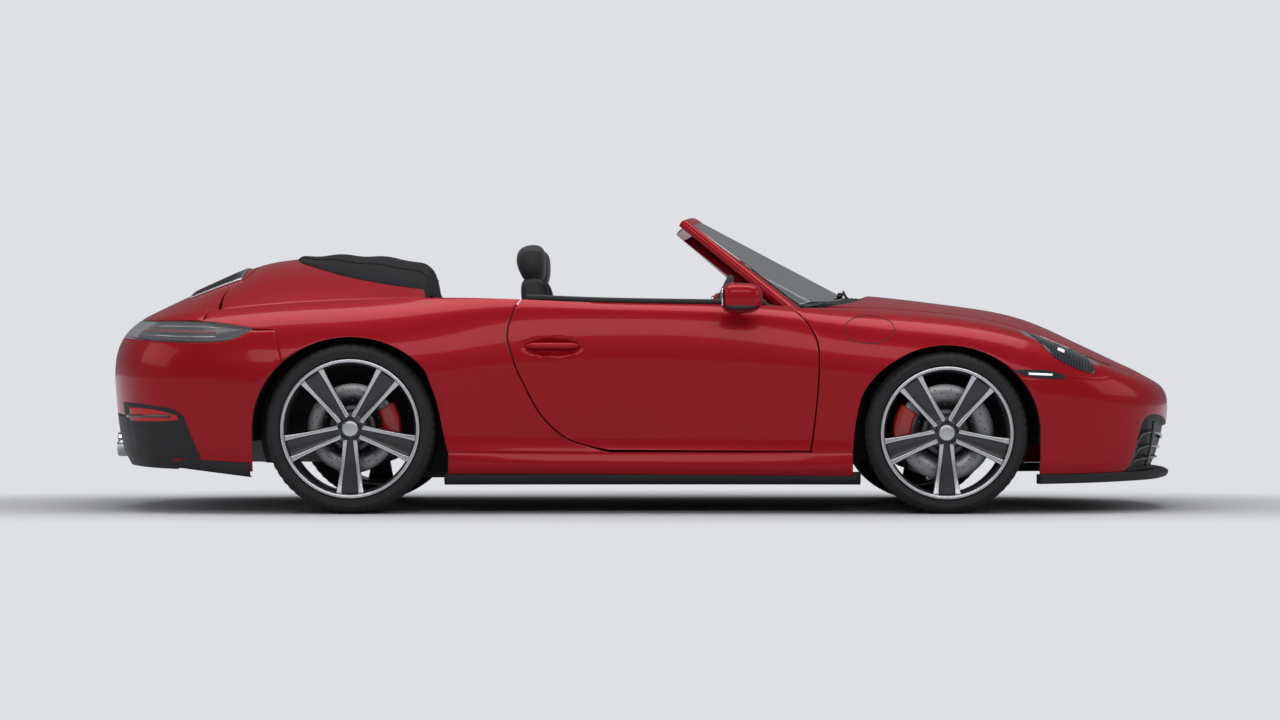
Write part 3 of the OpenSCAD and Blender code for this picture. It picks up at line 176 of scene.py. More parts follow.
def beside(line, d):
    """A line in side view moved by d to its left as it runs."""
    p = np.asarray(line, float)
    t = np.concatenate([p[1:], p[-1:]]) - np.concatenate([p[:1], p[:-1]])
    return p + np.stack([-t[:, 1], t[:, 0]], 1) * d / np.linalg.norm(t, axis=1)[:, None]


def between(low, high, start, end, power=1):
    """Grid between four edge lines: each line along is blended with the one across, and the
    shape of the two cross lines fades out along the grid with the given power."""
    s = np.linspace(0, 1, len(low))[:, None, None]
    t = np.linspace(0, 1, len(start))[None, :, None]
    along = (1 - t) * low[:, None] + t * high[:, None]

    def bulge(line):
        return line[None] - (1 - t) * line[0] - t * line[-1]
    return along + (1 - s) ** power * bulge(start) + s ** power * bulge(end)


def arch(x, r, start, end, n):
    """Wheel arch in side view from angle start to angle end, in degrees from straight ahead."""
    c = np.radians(np.linspace(start, end, n + 1))
    return np.stack([x + (r + 0.052) * np.cos(c), r + (r + arch_top) * np.sin(c)], 1)


def arch_angle(r, z):
    """Angle at which an arch passes height z."""
    return np.degrees(np.arcsin((z - r) / (r + arch_top)))


def inside(g, depth, foot=False, door_row=None):
    """Inner face of a panel: square to the skin, straight down at the lids' shut line, level
    along the foot and straight inwards along the door's edge."""
    n = side_normal(g)
    n = np.where(g[..., 1:] > top - 0.03, [0.0, 0, 1], n)
    if foot:
        n[:, 0, 2] = 0
        n[:, 0] /= np.linalg.norm(n[:, 0], axis=-1, keepdims=True)
    if door_row is not None:
        n[door_row] = [0, 1, 0]
    return side(g) - depth * n


def cell_rows(n, m):
    """Row and column of each cell of an n by m grid, row by row."""
    return [k.ravel() for k in np.meshgrid(np.arange(n), np.arange(m), indexing="ij")]


def ring_faces(n, m):
    """Faces between n + 1 rings of m points each, and one face over either end."""
    i, j = cell_rows(n, m)
    k = (j + 1) % m
    return [np.stack([i * m + j, i * m + k, (i + 1) * m + k, (i + 1) * m + j], 1),
            np.arange(m)[None, ::-1], (np.arange(m) + n * m)[None]]


def plate_faces(n, m):
    """Faces of a closed plate of n by m cells: outer sheet, inner sheet and the four rims."""
    w, q = m + 1, (n + 1) * (m + 1)
    i, j = cell_rows(n, m)
    a, r, c = i * w + j, np.arange(n), np.arange(m)
    return np.concatenate([np.stack(f, 1) for f in (
        [a, a + w, a + w + 1, a + 1], [q + a, q + a + 1, q + a + w + 1, q + a + w],
        [(r + 1) * w, r * w, q + r * w, q + (r + 1) * w],
        [r * w + m, (r + 1) * w + m, q + (r + 1) * w + m, q + r * w + m],
        [c, c + 1, q + c + 1, q + c], [n * w + c + 1, n * w + c, q + n * w + c, q + n * w + c + 1])])


def piece(name, points, faces, material, smooth=True):
    """Mesh object from an array of points and one or more arrays of faces."""
    mesh = bpy.data.meshes.new(name)
    lists = [faces] if isinstance(faces, np.ndarray) else faces
    mesh.from_pydata(np.reshape(points, (-1, 3)).tolist(), [],
                     [f for k in lists for f in k.tolist()])
    mesh.validate()
    mesh.polygons.foreach_set("use_smooth", np.full(len(mesh.polygons), smooth))
    mesh.materials.append(material)
    obj = bpy.data.objects.new(name, mesh)
    bpy.context.scene.collection.objects.link(obj)
    return obj


def spanned(low, high, n):
    """Grid between two lines, closed at both ends by n equal straight steps."""
    return between(low, high, steps([low[0], high[0]], n), steps([low[-1], high[-1]], n))


def plate(name, outer, inner, material):
    """Closed plate between two grids of points."""
    n, m = outer.shape[0] - 1, outer.shape[1] - 1
    return piece(name, np.stack([outer, inner]), plate_faces(n, m), material)


def mirrored(obj, name):
    """The same piece on the other side of the car, with its faces turned the right way again."""
    mesh = obj.data.copy()
    at = np.empty(len(mesh.vertices) * 3)
    mesh.vertices.foreach_get("co", at)
    mesh.vertices.foreach_set("co", (at.reshape(-1, 3) * flip_y).ravel())
    mesh.flip_normals()
    twin = bpy.data.objects.new(name, mesh)
    bpy.context.scene.collection.objects.link(twin)
    for old in obj.modifiers:
        new = twin.modifiers.new(old.name, old.type)
        for key in ("width", "segments", "limit_method", "angle_limit", "levels", "render_levels",
                    "thickness", "offset", "harden_normals"):
            if hasattr(old, key):
                setattr(new, key, getattr(old, key))
    return twin


def rounded(obj, width, segments=2, angle=40):
    """Rounds a piece's sharp edges by a bevel of the given width."""
    bevel = obj.modifiers.new("rounding", "BEVEL")
    bevel.width = width
    bevel.segments = segments
    bevel.limit_method = "ANGLE"
    bevel.angle_limit = np.radians(angle)
    return obj


def fit(obj, body, material_slot, *nodes):
    """Fixes a piece to its body and hides the frame nodes that it stands for; its finish, material_slot,
    is not used.
    """
    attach(obj, body)
    if nodes:
        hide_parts(*nodes)
    return obj


def fit_pair(obj, body, material_slot):
    """Fixes a left piece and its mirrored twin to the bodies of their sides."""
    twin = mirrored(obj, obj.name.replace("left", "right"))
    fit(obj, body, material_slot)
    fit(twin, body.replace("left", "right"), material_slot)


def group(name, inputs, outputs):
    """Empty shader node group with named number, colour or vector sockets."""
    made = bpy.data.node_groups.new(name, "ShaderNodeTree")
    for key, value in inputs.items():
        kind = "NodeSocketColor" if isinstance(value, tuple) else "NodeSocketFloat"
        socket = made.interface.new_socket(key, in_out="INPUT", socket_type=kind)
        socket.default_value = value
    for key, kind in outputs.items():
        made.interface.new_socket(key, in_out="OUTPUT", socket_type="NodeSocket" + kind)
    return made, made.nodes.new("NodeGroupInput").outputs, made.nodes.new("NodeGroupOutput").inputs


def node(tree, kind, values=None, **links):
    """Shader node with its options set, its sockets' values given by number or name in values,
    and other nodes' outputs linked to the named inputs."""
    made = tree.nodes.new("ShaderNode" + kind)
    for key, value in (values or {}).items():
        if hasattr(made, str(key)) and not isinstance(key, int):
            setattr(made, key, value)
        else:
            made.inputs[key].default_value = value
    for key, link in links.items():
        slot = key.replace("_", " ") if not key.startswith("in") else int(key[2:])
        tree.links.new(link, made.inputs[slot])
    return made


def blend(tree, low, high, part):
    """Colour between a low and a high one, by a part from 0 to 1."""
    return node(tree, "Mix", {"data_type": "RGBA", 6: low + (1,), 7: high + (1,)},
                in0=part).outputs[2]


def scaled(tree, value, times, plus):
    """A value times one number plus another."""
    return node(tree, "Math", {"operation": "MULTIPLY_ADD", 1: times, 2: plus},
                in0=value).outputs[0]


def dress(tree, shader, finish):
    """Links or sets the shader's named sockets."""
    for key, value in finish.items():
        if isinstance(value, bpy.types.NodeSocket):
            tree.links.new(value, shader.inputs[key])
        else:
            shader.inputs[key].default_value = value


def material(name):
    """Material with an empty Principled shader; returns it with its tree and shader."""
    made = bpy.data.materials.new(name)
    made.use_nodes = True
    shader = made.node_tree.nodes["Principled BSDF"]
    dress(made.node_tree, shader, {"Specular IOR Level": 0.25})
    return made, made.node_tree, shader


def grain_group():
    """Fine moulded or leather grain: cells of a Voronoi pattern broken up by noise, as a height and as a
    mask that darkens a colour slightly in the hollows, a painted shade, with a broad random mottle
    added."""
    made, into, out = group("grain", {"Scale": 400.0, "Strength": 0.3, "Blotch": 0.12},
                            {"Normal": "Vector", "Shade": "Float"})
    place = node(made, "TexCoord").outputs["Object"]
    cells = node(made, "TexVoronoi", {"feature": "F1"}, Vector=place,
                 Scale=into["Scale"])
    fine = node(made, "TexNoise", {"Scale": 900.0, "Detail": 3.0}, Vector=place)
    wide = node(made, "TexNoise", {"Scale": 6.0, "Detail": 4.0}, Vector=place)
    height = node(made, "Math", {"operation": "MULTIPLY"}, in0=cells.outputs["Distance"],
                  in1=fine.outputs["Fac"])
    bump = node(made, "Bump", {"Distance": 0.0006}, Height=height.outputs[0],
                Strength=into["Strength"])
    # broad random mottle plus the grain height: the low hollows come out darker, a painted shade
    blotch_and_hollow_shade = node(made, "Math", {"operation": "MULTIPLY_ADD"}, in0=wide.outputs["Fac"],
                  in1=into["Blotch"], in2=height.outputs[0])
    made.links.new(bump.outputs["Normal"], out["Normal"])
    made.links.new(blotch_and_hollow_shade.outputs[0], out["Shade"])
    return made


def lacquer(name, colour, dark, flake):
    """Metallic car lacquer: fine flakes shift the colour a little, a broad mottle varies it, the
    clear coat above is nearly smooth with a trace of orange peel."""
    made, tree, shader = material(name)
    place = node(tree, "TexCoord").outputs["Object"]
    spark = node(tree, "TexVoronoi", {"Scale": 1600.0}, Vector=place)
    broad = node(tree, "TexNoise", {"Scale": 1.7, "Detail": 3.0}, Vector=place)
    peel = node(tree, "TexNoise", {"Scale": 260.0, "Detail": 1.0}, Vector=place)
    amount = node(tree, "Math", {"operation": "MULTIPLY_ADD", 1: flake, 2: 0.25},
                  in0=spark.outputs["Distance"])
    mixed = node(tree, "Mix", {"data_type": "RGBA", 6: dark + (1,), 7: colour + (1,)},
                 in0=node(tree, "Math", {"operation": "MULTIPLY_ADD", 1: 0.5},
                          in0=broad.outputs["Fac"], in2=amount.outputs[0]).outputs[0])
    bump = node(tree, "Bump", {"Strength": 0.05, "Distance": 0.0003}, Height=peel.outputs["Fac"])
    rough = node(tree, "Math", {"operation": "MULTIPLY_ADD", 1: 0.1, 2: 0.3},
                 in0=spark.outputs["Distance"])
    dress(tree, shader, {"Base Color": mixed.outputs[2], "Roughness": rough.outputs[0],
                         "Normal": bump.outputs["Normal"], "Metallic": 0.25,
                         "Specular IOR Level": 0.12, "Coat Weight": 0.45, "Coat IOR": 1.35,
                         "Coat Roughness": 0.06})
    return made


red_lacquer = lacquer("red_lacquer", (0.36, 0.003, 0.011), (0.24, 0.002, 0.007), 0.5)
grain = grain_group()

# Edge lines in side view and in frame numbers and levels, as the panels of the frame have them
door_front = np.array([[722, 380], [733, 502], [738, 600], [737, 674], [724, 730], [702, 768],
                       [668, 812], [634, 846]]) / 1000 + [shift_x, 0]
door_rear = np.array([[-210, 275], [-294, 302], [-352, 344], [-407, 401], [-445, 462], [-478, 528],
                      [-512, 600], [-534, 669], [-546, 705], [-548, 739], [-545, 768], [-538, 796],
                      [-520, 840], [-493, 884]]) / 1000 + [shift_x, 0]
door_front_x, door_rear_x = 0.705 + shift_x, -0.125 + shift_x
nose_foot_z, tail_foot_z = 0.172, 0.176
split_z, seam_level, nose_u, lamp_seam = 0.560, 0.620, 15.65, 0.012
nose_seam = np.array([[1800, 557], [1900, 553], [1945, 565], [1965, 600]]) / 1000 + [shift_x, 0]
lamp_high = np.array([[0, 6.66], [1, 6.66], [2, 6.6], [3, 6.4], [3.8, 6.12], [4.3, 5.8],
                      [4.68, 5.52]])
lamp_low = np.array([[0, 5.4], [1, 5.4], [2, 5.3], [3, 5.12], [3.8, 5], [4.3, 5.04], [4.52, 5.22],
                     [4.68, 5.48]])
tail_vent = np.array([[0, 2.5], [1, 2.5], [2, 2.45], [2.75, 2.3], [3.1, 1.6], [3.6, 0.3]])
nose_vent = np.array([[15.95, 0], [16, 0.25], [16.1, 1.4], [16.25, 2.9], [16.6, 3.3], [17.2, 3.2],
                      [18, 2.8], [19, 2.75]])
lid_corner = np.array([3.9, top])
fine = 4
nose_line = curve(nose_vent, 14 * fine)
tail_line = curve(tail_vent, 14 * fine)
lamp_line = curve(lamp_low, 16 * fine)
front_angle = arch_angle(front_r, split_z)
rear_angle = 180 - arch_angle(rear_r, seam_level)
tail_seam_top = np.array([-1.500 + shift_x, 0.757])


def seam_line(d):
    """Seam between fender and front bumper, moved towards the bumper by d."""
    foot = [front_x + front_half * np.cos(np.radians(front_angle)), split_z]
    edge = steps(hit(beside(curve([foot, *nose_seam], 32), -d)), 8 * fine)
    return chain(edge, steps([edge[-1], [nose_u + (0.01 if d else 0), top]], 2 * fine))


def fender_grid():
    back = front_x - front_half
    foot = sill_top + seam
    low = hit(chain(steps([[door_front_x + seam, foot], [back, foot]], 2 * fine),
                    steps([[back, foot], [back, front_r]], 2 * fine),
                    arch(front_x, front_r, front_angle, 180, 15 * fine)[::-1]))
    door = beside(curve([[door_front_x, foot], *door_front], 10 * fine), -seam)
    start = np.concatenate([low[:1], hit(door)[1:]])
    high = steps([start[-1], [12, top], [nose_u, top]], 19 * fine)
    return between(low, high, start, seam_line(0), 3)


def nose_grid():
    foot = hit([front_x + front_half, nose_foot_z])
    low = chain(steps([[foot[0], 0], [15.95, 0]], 4 * fine), nose_line)
    start = hit(chain(steps([[front_x + front_half, nose_foot_z],
                             [front_x + front_half, front_r]], 3 * fine),
                      arch(front_x, front_r, 0, front_angle - 0.1, 5 * fine)))
    start = np.concatenate([low[:1], start[1:]])
    high = chain(seam_line(seam), steps([[nose_u + 0.01, top], [last, top]], 8 * fine))
    high = steps(high, 18 * fine) if len(high) != len(low) else high
    start = np.concatenate([start[:-1], high[:1]])
    return between(low, high, start, steps([low[-1], [last, top]], len(start) - 1))


def quarter_grid():
    ahead, foot = rear_x + rear_half, sill_top + seam
    low = hit(chain(arch(rear_x, rear_r, rear_angle, 0, 16 * fine),
                    steps([[ahead, rear_r], [ahead, foot]], 3 * fine),
                    steps([[ahead, foot], [door_rear_x - seam, foot]], 7 * fine)))
    up = steps(np.concatenate([low[:1], [hit(tail_seam_top), [4.73, 5.5]],
                               lamp_high[[5, 4]] + [0, 3 * lamp_seam],
                               [lid_corner + [0.02, -0.8], lid_corner]]),
               12 * fine)
    door = hit(beside(curve([[door_rear_x, foot], *door_rear], 12 * fine), seam))
    end = np.concatenate([low[-1:], door[1:]])
    high = steps([lid_corner, [end[-1, 0], top]], 26 * fine)
    return between(low, high, up, end, 6)


def tail_grid():
    flank = rear_x - rear_half
    foot = hit([flank, tail_foot_z])
    low = chain(tail_line, steps([tail_vent[5], [3.8, 0], [foot[0], 0]], 5 * fine))
    top_end = hit([rear_x + rear_half * np.cos(np.radians(rear_angle)) - seam, seam_level - seam])
    high = chain(lamp_line - [0, lamp_seam],
                 steps([lamp_line[-1] - [0, lamp_seam], [4.76, 5.44]], fine),
                 steps([[4.76, 5.44], hit(tail_seam_top) - [0, 0.02]], fine),
                 steps([hit(tail_seam_top) - [0, 0.02], top_end], fine))
    end = hit(chain(steps([[flank, tail_foot_z], [flank, rear_r]], 3 * fine),
                    arch(rear_x, rear_r, 180, rear_angle + 0.1, 5 * fine)))
    end = np.concatenate([low[-1:], end[1:-1], high[-1:]])
    return between(low, high, steps([low[0], high[0]], len(end) - 1), end)


def both_tail(g):
    return np.concatenate([g[:0:-1] * flip_y, g])


def both_nose(g):
    return np.concatenate([g, g[-2::-1] * flip_y])


for name, g, door_row, node_name in (("front_fender", fender_grid(), 0, "front_fenders"),
                                     ("rear_quarter", quarter_grid(), -1, "rear_quarters")):
    skin = plate(name + "_left", side(g), inside(g, panel, True, door_row), red_lacquer)
    rounded(skin, 0.0016)
    twin = mirrored(skin, name + "_right")
    fit(skin, "body", "paint", node_name)
    fit(twin, "body", "paint", node_name)
g = nose_grid()
nose_skin = plate("front_bumper_skin", both_nose(side(g)), both_nose(inside(g, panel)), red_lacquer)
fit(rounded(nose_skin, 0.0016), "body", "paint", "front_bumper")
g = tail_grid()
tail_skin = plate("rear_bumper_skin", both_tail(side(g)), both_tail(inside(g, panel)), red_lacquer)
fit(rounded(tail_skin, 0.0016), "body", "paint", "rear_bumper")


def moulded(name, colour, dark, roughness, size, strength, sheen=0.0, coat=0.0):
    """Plastic, rubber or leather: the shared grain as bump, and its random mottle with painted shade in
    the hollows between two colours.
    """
    made, tree, shader = material(name)
    fine_grain = tree.nodes.new("ShaderNodeGroup")
    fine_grain.node_tree = grain
    fine_grain.inputs["Scale"].default_value = size
    fine_grain.inputs["Strength"].default_value = strength
    shade = fine_grain.outputs["Shade"]
    dress(tree, shader, {"Base Color": blend(tree, dark, colour, shade),
                         "Roughness": scaled(tree, shade, 0.25, roughness),
                         "Normal": fine_grain.outputs["Normal"], "Sheen Weight": sheen,
                         "Coat Weight": coat})
    return made


black_plastic = moulded("black_plastic", (0.03, 0.03, 0.032), (0.014, 0.014, 0.015), 0.42, 900, 0.25)
gloss_black = moulded("gloss_black", (0.012, 0.012, 0.013), (0.006, 0.006, 0.007), 0.1, 300, 0.03,
                      coat=1.0)
black_rubber = moulded("black_rubber", (0.022, 0.022, 0.023), (0.011, 0.011, 0.012), 0.6, 700, 0.2)
black_leather = moulded("black_leather", (0.035, 0.034, 0.036), (0.015, 0.015, 0.016), 0.42, 520,
                        0.5, sheen=0.1)


def brushed(name, colour, roughness, scale, strength):
    """Bare or satin metal: fine stretched noise varies its roughness and its height."""
    made, tree, shader = material(name)
    place = node(tree, "TexCoord").outputs["Object"]
    turned = node(tree, "Mapping", {"Scale": (scale, scale * 0.08, scale)}, Vector=place)
    lines = node(tree, "TexNoise", {"Scale": 1.0, "Detail": 4.0},
                 Vector=turned.outputs["Vector"]).outputs["Fac"]
    dull = tuple(c * 0.8 for c in colour)
    bump = node(tree, "Bump", {"Strength": strength, "Distance": 0.0002}, Height=lines)
    dress(tree, shader, {"Base Color": blend(tree, dull, colour, lines),
                         "Roughness": scaled(tree, lines, 0.15, roughness),
                         "Normal": bump.outputs["Normal"], "Metallic": 1.0})
    return made


polished_steel = brushed("polished_steel", (0.78, 0.79, 0.8), 0.08, 300.0, 0.1)
satin_metal = brushed("satin_metal", (0.6, 0.61, 0.63), 0.25, 400.0, 0.2)
dark_metal = brushed("dark_metal", (0.1, 0.1, 0.105), 0.35, 300.0, 0.3)

# ---- Doors -------------------------------------------------------------------------------------
# Two long steel doors in the body colour, each with a dished grip behind a flush handle bar. They
# swing on two hinges behind the front wheel, and their frameless windows are wound down.
door_inner = 0.745
handle = np.array([-0.3665 + shift_x + 0.0075, 0.686])
hinge_x, hinge_y, hinge_z = 0.665 + shift_x, 0.850, (0.505, 0.655)


def door_grid(k):
    foot = sill_top + shut_gap
    end = hit(beside(curve([[door_front_x, foot], *door_front], 12 * k), shut_gap))
    start = hit(beside(curve([[door_rear_x, foot], *door_rear], 12 * k), -shut_gap))
    high = steps([[start[-1, 0], top], [end[-1, 0], top]], 16 * k)
    return between(steps([start[0], end[0]], 16 * k), high,
                   np.concatenate([start[:-1], high[:1]]), np.concatenate([end[:-1], high[-1:]]))


def box_mesh(name, low, high, material):
    """Closed box between two corners, as a plate of one cell."""
    a, b = np.array(low, float), np.array(high, float)
    grid = np.array([[[a[0], y, z] for z in (a[2], b[2])] for y in (b[1], a[1])])
    return plate(name, grid + [b[0] - a[0], 0, 0], grid, material)


def cut(obj, *cutters):
    """Cuts closed cutter meshes out of a piece and removes them."""
    for cutter in cutters:
        change = obj.modifiers.new("cut", "BOOLEAN")
        change.operation = "DIFFERENCE"
        change.solver = "EXACT"
        change.object = cutter
        bpy.context.view_layer.update()
        done = bpy.data.meshes.new_from_object(obj.evaluated_get(
            bpy.context.evaluated_depsgraph_get()))
        obj.modifiers.remove(change)
        obj.data = done
        bpy.data.objects.remove(cutter)
    return obj


def tube(name, path, radius, material, sides=12, flat=1.0):
    """Round or oval bar along a path: at each point a ring square to the path, closed at both
    ends by a last ring of almost no size. A list of radii gives one radius a point."""
    p = np.asarray(path, float)
    r = np.broadcast_to(np.asarray(radius, float), len(p)).copy()
    p = np.concatenate([p[:1], p, p[-1:]])
    r = np.concatenate([[r[0] * 0.01], r, [r[-1] * 0.01]])
    t = np.gradient(p, axis=0)
    t[0], t[1], t[-1], t[-2] = p[2] - p[1], p[2] - p[1], p[-2] - p[-3], p[-2] - p[-3]
    t /= np.linalg.norm(t, axis=1)[:, None]
    up = np.where(np.abs(t[:, 2:]) > 0.9, [[0.0, 1, 0]], [[0.0, 0, 1]])
    a = np.cross(t, up)
    a /= np.linalg.norm(a, axis=1)[:, None]
    b = np.cross(a, t) * flat
    c = np.linspace(0, 2 * np.pi, sides, endpoint=False)
    ring = a[:, None] * np.cos(c)[None, :, None] - b[:, None] * np.sin(c)[None, :, None]
    at = p[:, None] + ring * r[:, None, None]
    return piece(name, at, ring_faces(len(p) - 1, sides), material)


g = door_grid(7)
skin = side(g)
dish = ((skin[..., 0] - handle[0]) / 0.125) ** 2 + ((skin[..., 2] - handle[1]) / 0.036) ** 2
skin = skin - 0.016 * side_normal(g) * np.clip(1 - dish ** 1.5, 0, 1)[..., None] ** 0.7
back = side(g)
back[..., 1] = door_inner
door = plate("door_skin_left", skin, back, red_lacquer)
notches = [box_mesh("notch", (hinge_x - 0.013, door_inner - 0.01, z - 0.016),
                    (hinge_x + 0.187, hinge_y + 0.012, z + 0.016), red_lacquer) for z in hinge_z]
bore = tube("bore", [(hinge_x, hinge_y, 0.465), (hinge_x, hinge_y, 0.735)], 0.0055, red_lacquer)
cut(door, *notches, bore)
rounded(door, 0.0022)
reach = np.linspace(-1, 1, 33)
on_skin = hit(np.stack([handle[0] + 0.108 * reach, handle[1] + 0.004 + 0 * reach], 1))
bar_line = side(on_skin) + side_normal(on_skin) * (0.007 - 0.016 * np.abs(reach) ** 6)[:, None]
door_bar = tube("door_bar_left", bar_line, 0.0125 - 0.006 * np.abs(reach) ** 8, red_lacquer, 20,
                1.0)
for part in (door, door_bar):
    fit_pair(part, "door_left", "paint")
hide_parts("door_left")
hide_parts("door_right")

# ---- Door mirrors ------------------------------------------------------------------------------
# A moulded shell, lacquered above and black below, on a black arm from the door's shoulder, with
# a flat silvered glass facing back.
foot_q = np.array([np.interp(0.400 + shift_x, frames[:, 0] + shift_x, np.arange(last + 1)), 6.6])
foot_at = side(foot_q)
mirror_at = np.array([0.396 + shift_x, 0.962, 0.872])
silvered_glass = brushed("silvered_glass", (0.86, 0.88, 0.9), 0.02, 60.0, 0.0)


def egg(centre, size, power, n=40, back=1.0):
    """Rounded block: a sphere whose sines and cosines are raised to a power, wider or narrower
    ahead of its middle than behind it."""
    a = np.linspace(-np.pi / 2, np.pi / 2, n // 2 + 1)[:, None]
    b = np.linspace(0, 2 * np.pi, n + 1)[None, :]

    def p(v):
        return np.sign(v) * np.abs(v) ** power
    at = np.stack([p(np.cos(a)) * p(np.cos(b)), p(np.cos(a)) * p(np.sin(b)), p(np.sin(a)) + 0 * b],
                  -1)
    at[..., 0] *= np.where(at[..., 0] < 0, back, 1)
    return np.asarray(centre) + at * np.asarray(size)


def tidied(made):
    """Joins the points of a mesh that fall together and turns all its faces outwards."""
    work = bmesh.new()
    work.from_mesh(made.data)
    bmesh.ops.remove_doubles(work, verts=work.verts, dist=1e-6)
    bmesh.ops.recalc_face_normals(work, faces=work.faces)
    work.to_mesh(made.data)
    work.free()
    return made


def wrapped(name, at, material):
    """Closed mesh from a grid whose last column meets its first and whose end rows are points."""
    n, m = at.shape[0] - 1, at.shape[1] - 1
    i, j = cell_rows(n, m)
    a = i * (m + 1) + j
    return tidied(piece(name, at, np.stack([a, a + 1, a + m + 2, a + m + 1], 1), material))


shell_grid = egg(mirror_at + [0, 0, 0.012], (0.104, 0.098, 0.060), 0.62, 56, 0.62)
shell_grid[..., 2] += 0.06 * (shell_grid[..., 1] - mirror_at[1])
housing = wrapped("mirror_shell_left", shell_grid, red_lacquer)
housing.data.materials.append(gloss_black)
low_faces = [poly.center[2] < mirror_at[2] - 0.018 for poly in housing.data.polygons]
housing.data.polygons.foreach_set("material_index", np.array(low_faces, np.int32))
pane = wrapped("mirror_pane_left", egg(mirror_at - [0.0615, 0, -0.014], (0.004, 0.084, 0.043), 0.4,
                                       48), silvered_glass)
arm = tube("mirror_arm_left", curve([foot_at + [0, -0.002, 0.0], foot_at + [0, 0.012, 0.02],
                                     foot_at + [-0.002, 0.05, 0.03],
                                     [mirror_at[0], mirror_at[1] - 0.06, mirror_at[2] - 0.02]], 16),
           np.linspace(0.026, 0.02, 17), gloss_black, 20, 0.55)
for part in (housing, pane, arm):
    fit_pair(part, "door_left", "gloss_black" if part is arm else "paint")
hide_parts("mirror_left")
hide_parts("mirror_right")

# ---- Sills and splitter ------------------------------------------------------------------------
# Lacquered sill covers clipped on between the arches, and a black moulded lip under the nose.
sill_high = hit(steps([[rear_x + rear_half, sill_top], [front_x - front_half, sill_top]], 60))
sill_low = np.stack([sill_high[:, 0], 0 * sill_high[:, 0]], 1)
g = spanned(sill_low, sill_high, 10)
sill_back = side(g)
sill_back[..., 1] = 0.700
sill = rounded(plate("sill_cover_left", side(g), sill_back, red_lacquer), 0.002)
twin = mirrored(sill, "sill_cover_right")
fit(twin, "body", "paint")
fit(sill, "body", "paint", "sills")
foot_u = hit([front_x + front_half, nose_foot_z])[0]
edge = np.stack([np.linspace(foot_u, last, 60), np.zeros(60)], 1)
reach = np.clip((edge[:, 0] - 15.8) / 2.2, 0, 1)
reach = 0.004 + 0.060 * reach ** 2 * (3 - 2 * reach)
level = side_normal(edge) * [1, 1, 0]
level /= np.linalg.norm(level, axis=1)[:, None]
lip = side(edge)
lip_steps = np.array([[-0.050, -0.0006], [-0.02, -0.0006], [0.4, -0.0006], [0.8, -0.003],
                      [1.0, -0.010], [1.0, -0.022], [0.85, -0.034], [0.5, -0.040],
                      [-0.020, -0.040], [-0.050, -0.040]])


def lip_grid(half):
    """Section of the lip carried along the nose's lower edge: the first numbers are its reach as
    a part of the local overhang, or metres inwards where negative, the second its drop."""
    out = np.where(lip_steps[:, 0] > 0, lip_steps[:, 0] * half[:, None], lip_steps[None, :, 0])
    return (lip[:, None] + level[:, None] * out[..., None]
            + np.array([0, 0, 1]) * lip_steps[None, :, 1:])


at = both_nose(lip_grid(reach))
at = np.concatenate([at, at[:, :1]], 1)
n, m = at.shape[0] - 1, at.shape[1] - 1
i, j = cell_rows(n, m)
a = i * (m + 1) + j
caps = [np.arange(m)[None, ::-1], (n * (m + 1) + np.arange(m))[None]]
splitter = piece("nose_lip", at, [np.stack([a, a + 1, a + m + 2, a + m + 1], 1)[:, ::-1], *caps],
                 black_plastic)
fit(tidied(splitter), "body", "black_plastic", "front_splitter")

# ---- Front lid ---------------------------------------------------------------------------------
# A pressed steel lid over the luggage tub, lacquered, hinged at the windscreen on two arms. All
# lids are one height over the plan of the car: a crown line along the middle, and the shut line.
shut_line = side(np.stack([np.linspace(0, last, 400), np.full(400, top)], 1))
order = np.argsort(shut_line[:, 0])
shut_line = shut_line[order]
crown = curve(np.array([[-2130, 813], [-2080, 838], [-1909, 921], [-1655, 1034], [-1481, 1069],
                        [-1330, 1078], [-1175, 1075], [-1006, 1058], [-867, 1030], [-536, 1000],
                        [300, 960], [905, 912], [980, 909], [1054, 903], [1260, 879], [1526, 841],
                        [1700, 792], [1886, 706], [2040, 632], [2120, 594], [2176, 560]]) / 1000
              + [shift_x, 0], 200)
lid_depth = 0.022


def lid_z(x, y):
    """Height of a lid: the shut line's, plus what the crown stands above it times one less the
    share of the half width raised to 2 ahead of the axles' middle and 2.3 behind it."""
    width = np.interp(x, shut_line[:, 0], shut_line[:, 1])
    low = np.interp(x, shut_line[:, 0], shut_line[:, 2])
    high = np.interp(x, crown[:, 0], crown[:, 1])
    part = np.minimum(np.abs(y) / np.maximum(width, 0.001), 1)
    return low + (high - low) * (1 - part ** np.where(np.asarray(x) > 0, 2, 2.3))


def on_lid(g, rise=0.0):
    return np.concatenate([g, (lid_z(g[..., 0], g[..., 1]) + rise)[..., None]], -1)


def lid_plate(name, g, depth, material, rise=0.0):
    return plate(name, both_tail(on_lid(g, rise)), both_tail(on_lid(g, rise - depth)), material)


hood_back = np.array([[980, 0], [968, 200], [935, 390], [875, 560], [800, 680], [742, 752]]) / 1000
hood_back = hood_back + [shift_x, 0]
side_edge = side(steps([[11.62, top], [17.3, top]], 14 * fine))[:, :2]
nose_edge = side(steps([[last, top], [17.3, top]], 8 * fine))[:, :2]
low = curve([*hood_back[:5], side_edge[0]], 8 * fine)
g = between(low, nose_edge, steps([hood_back[0], nose_edge[0]], 14 * fine),
            steps(side_edge, 14 * fine))
inset = np.zeros_like(g)
inset[-1, :, 1] -= 0.008
inset[:, 0, 0] += 0.008
inset[:, -1, 0] -= 0.008
hood = rounded(lid_plate("front_lid_skin", g + inset, lid_depth, red_lacquer), 0.003, 3)
for s, hand in sides:
    arm_line = [[0.722 + shift_x, 0.615 * s, 0.780], [0.90 + shift_x, 0.615 * s, 0.782],
                [0.955 + shift_x, 0.615 * s, 0.80], [0.965 + shift_x, 0.615 * s, 0.826]]
    fit(tube(f"front_lid_arm_{hand}", curve(arm_line, 16), 0.011, dark_metal, 12, 0.5),
        "front_lid", "paint")
fit(hood, "front_lid", "paint", "front_lid")

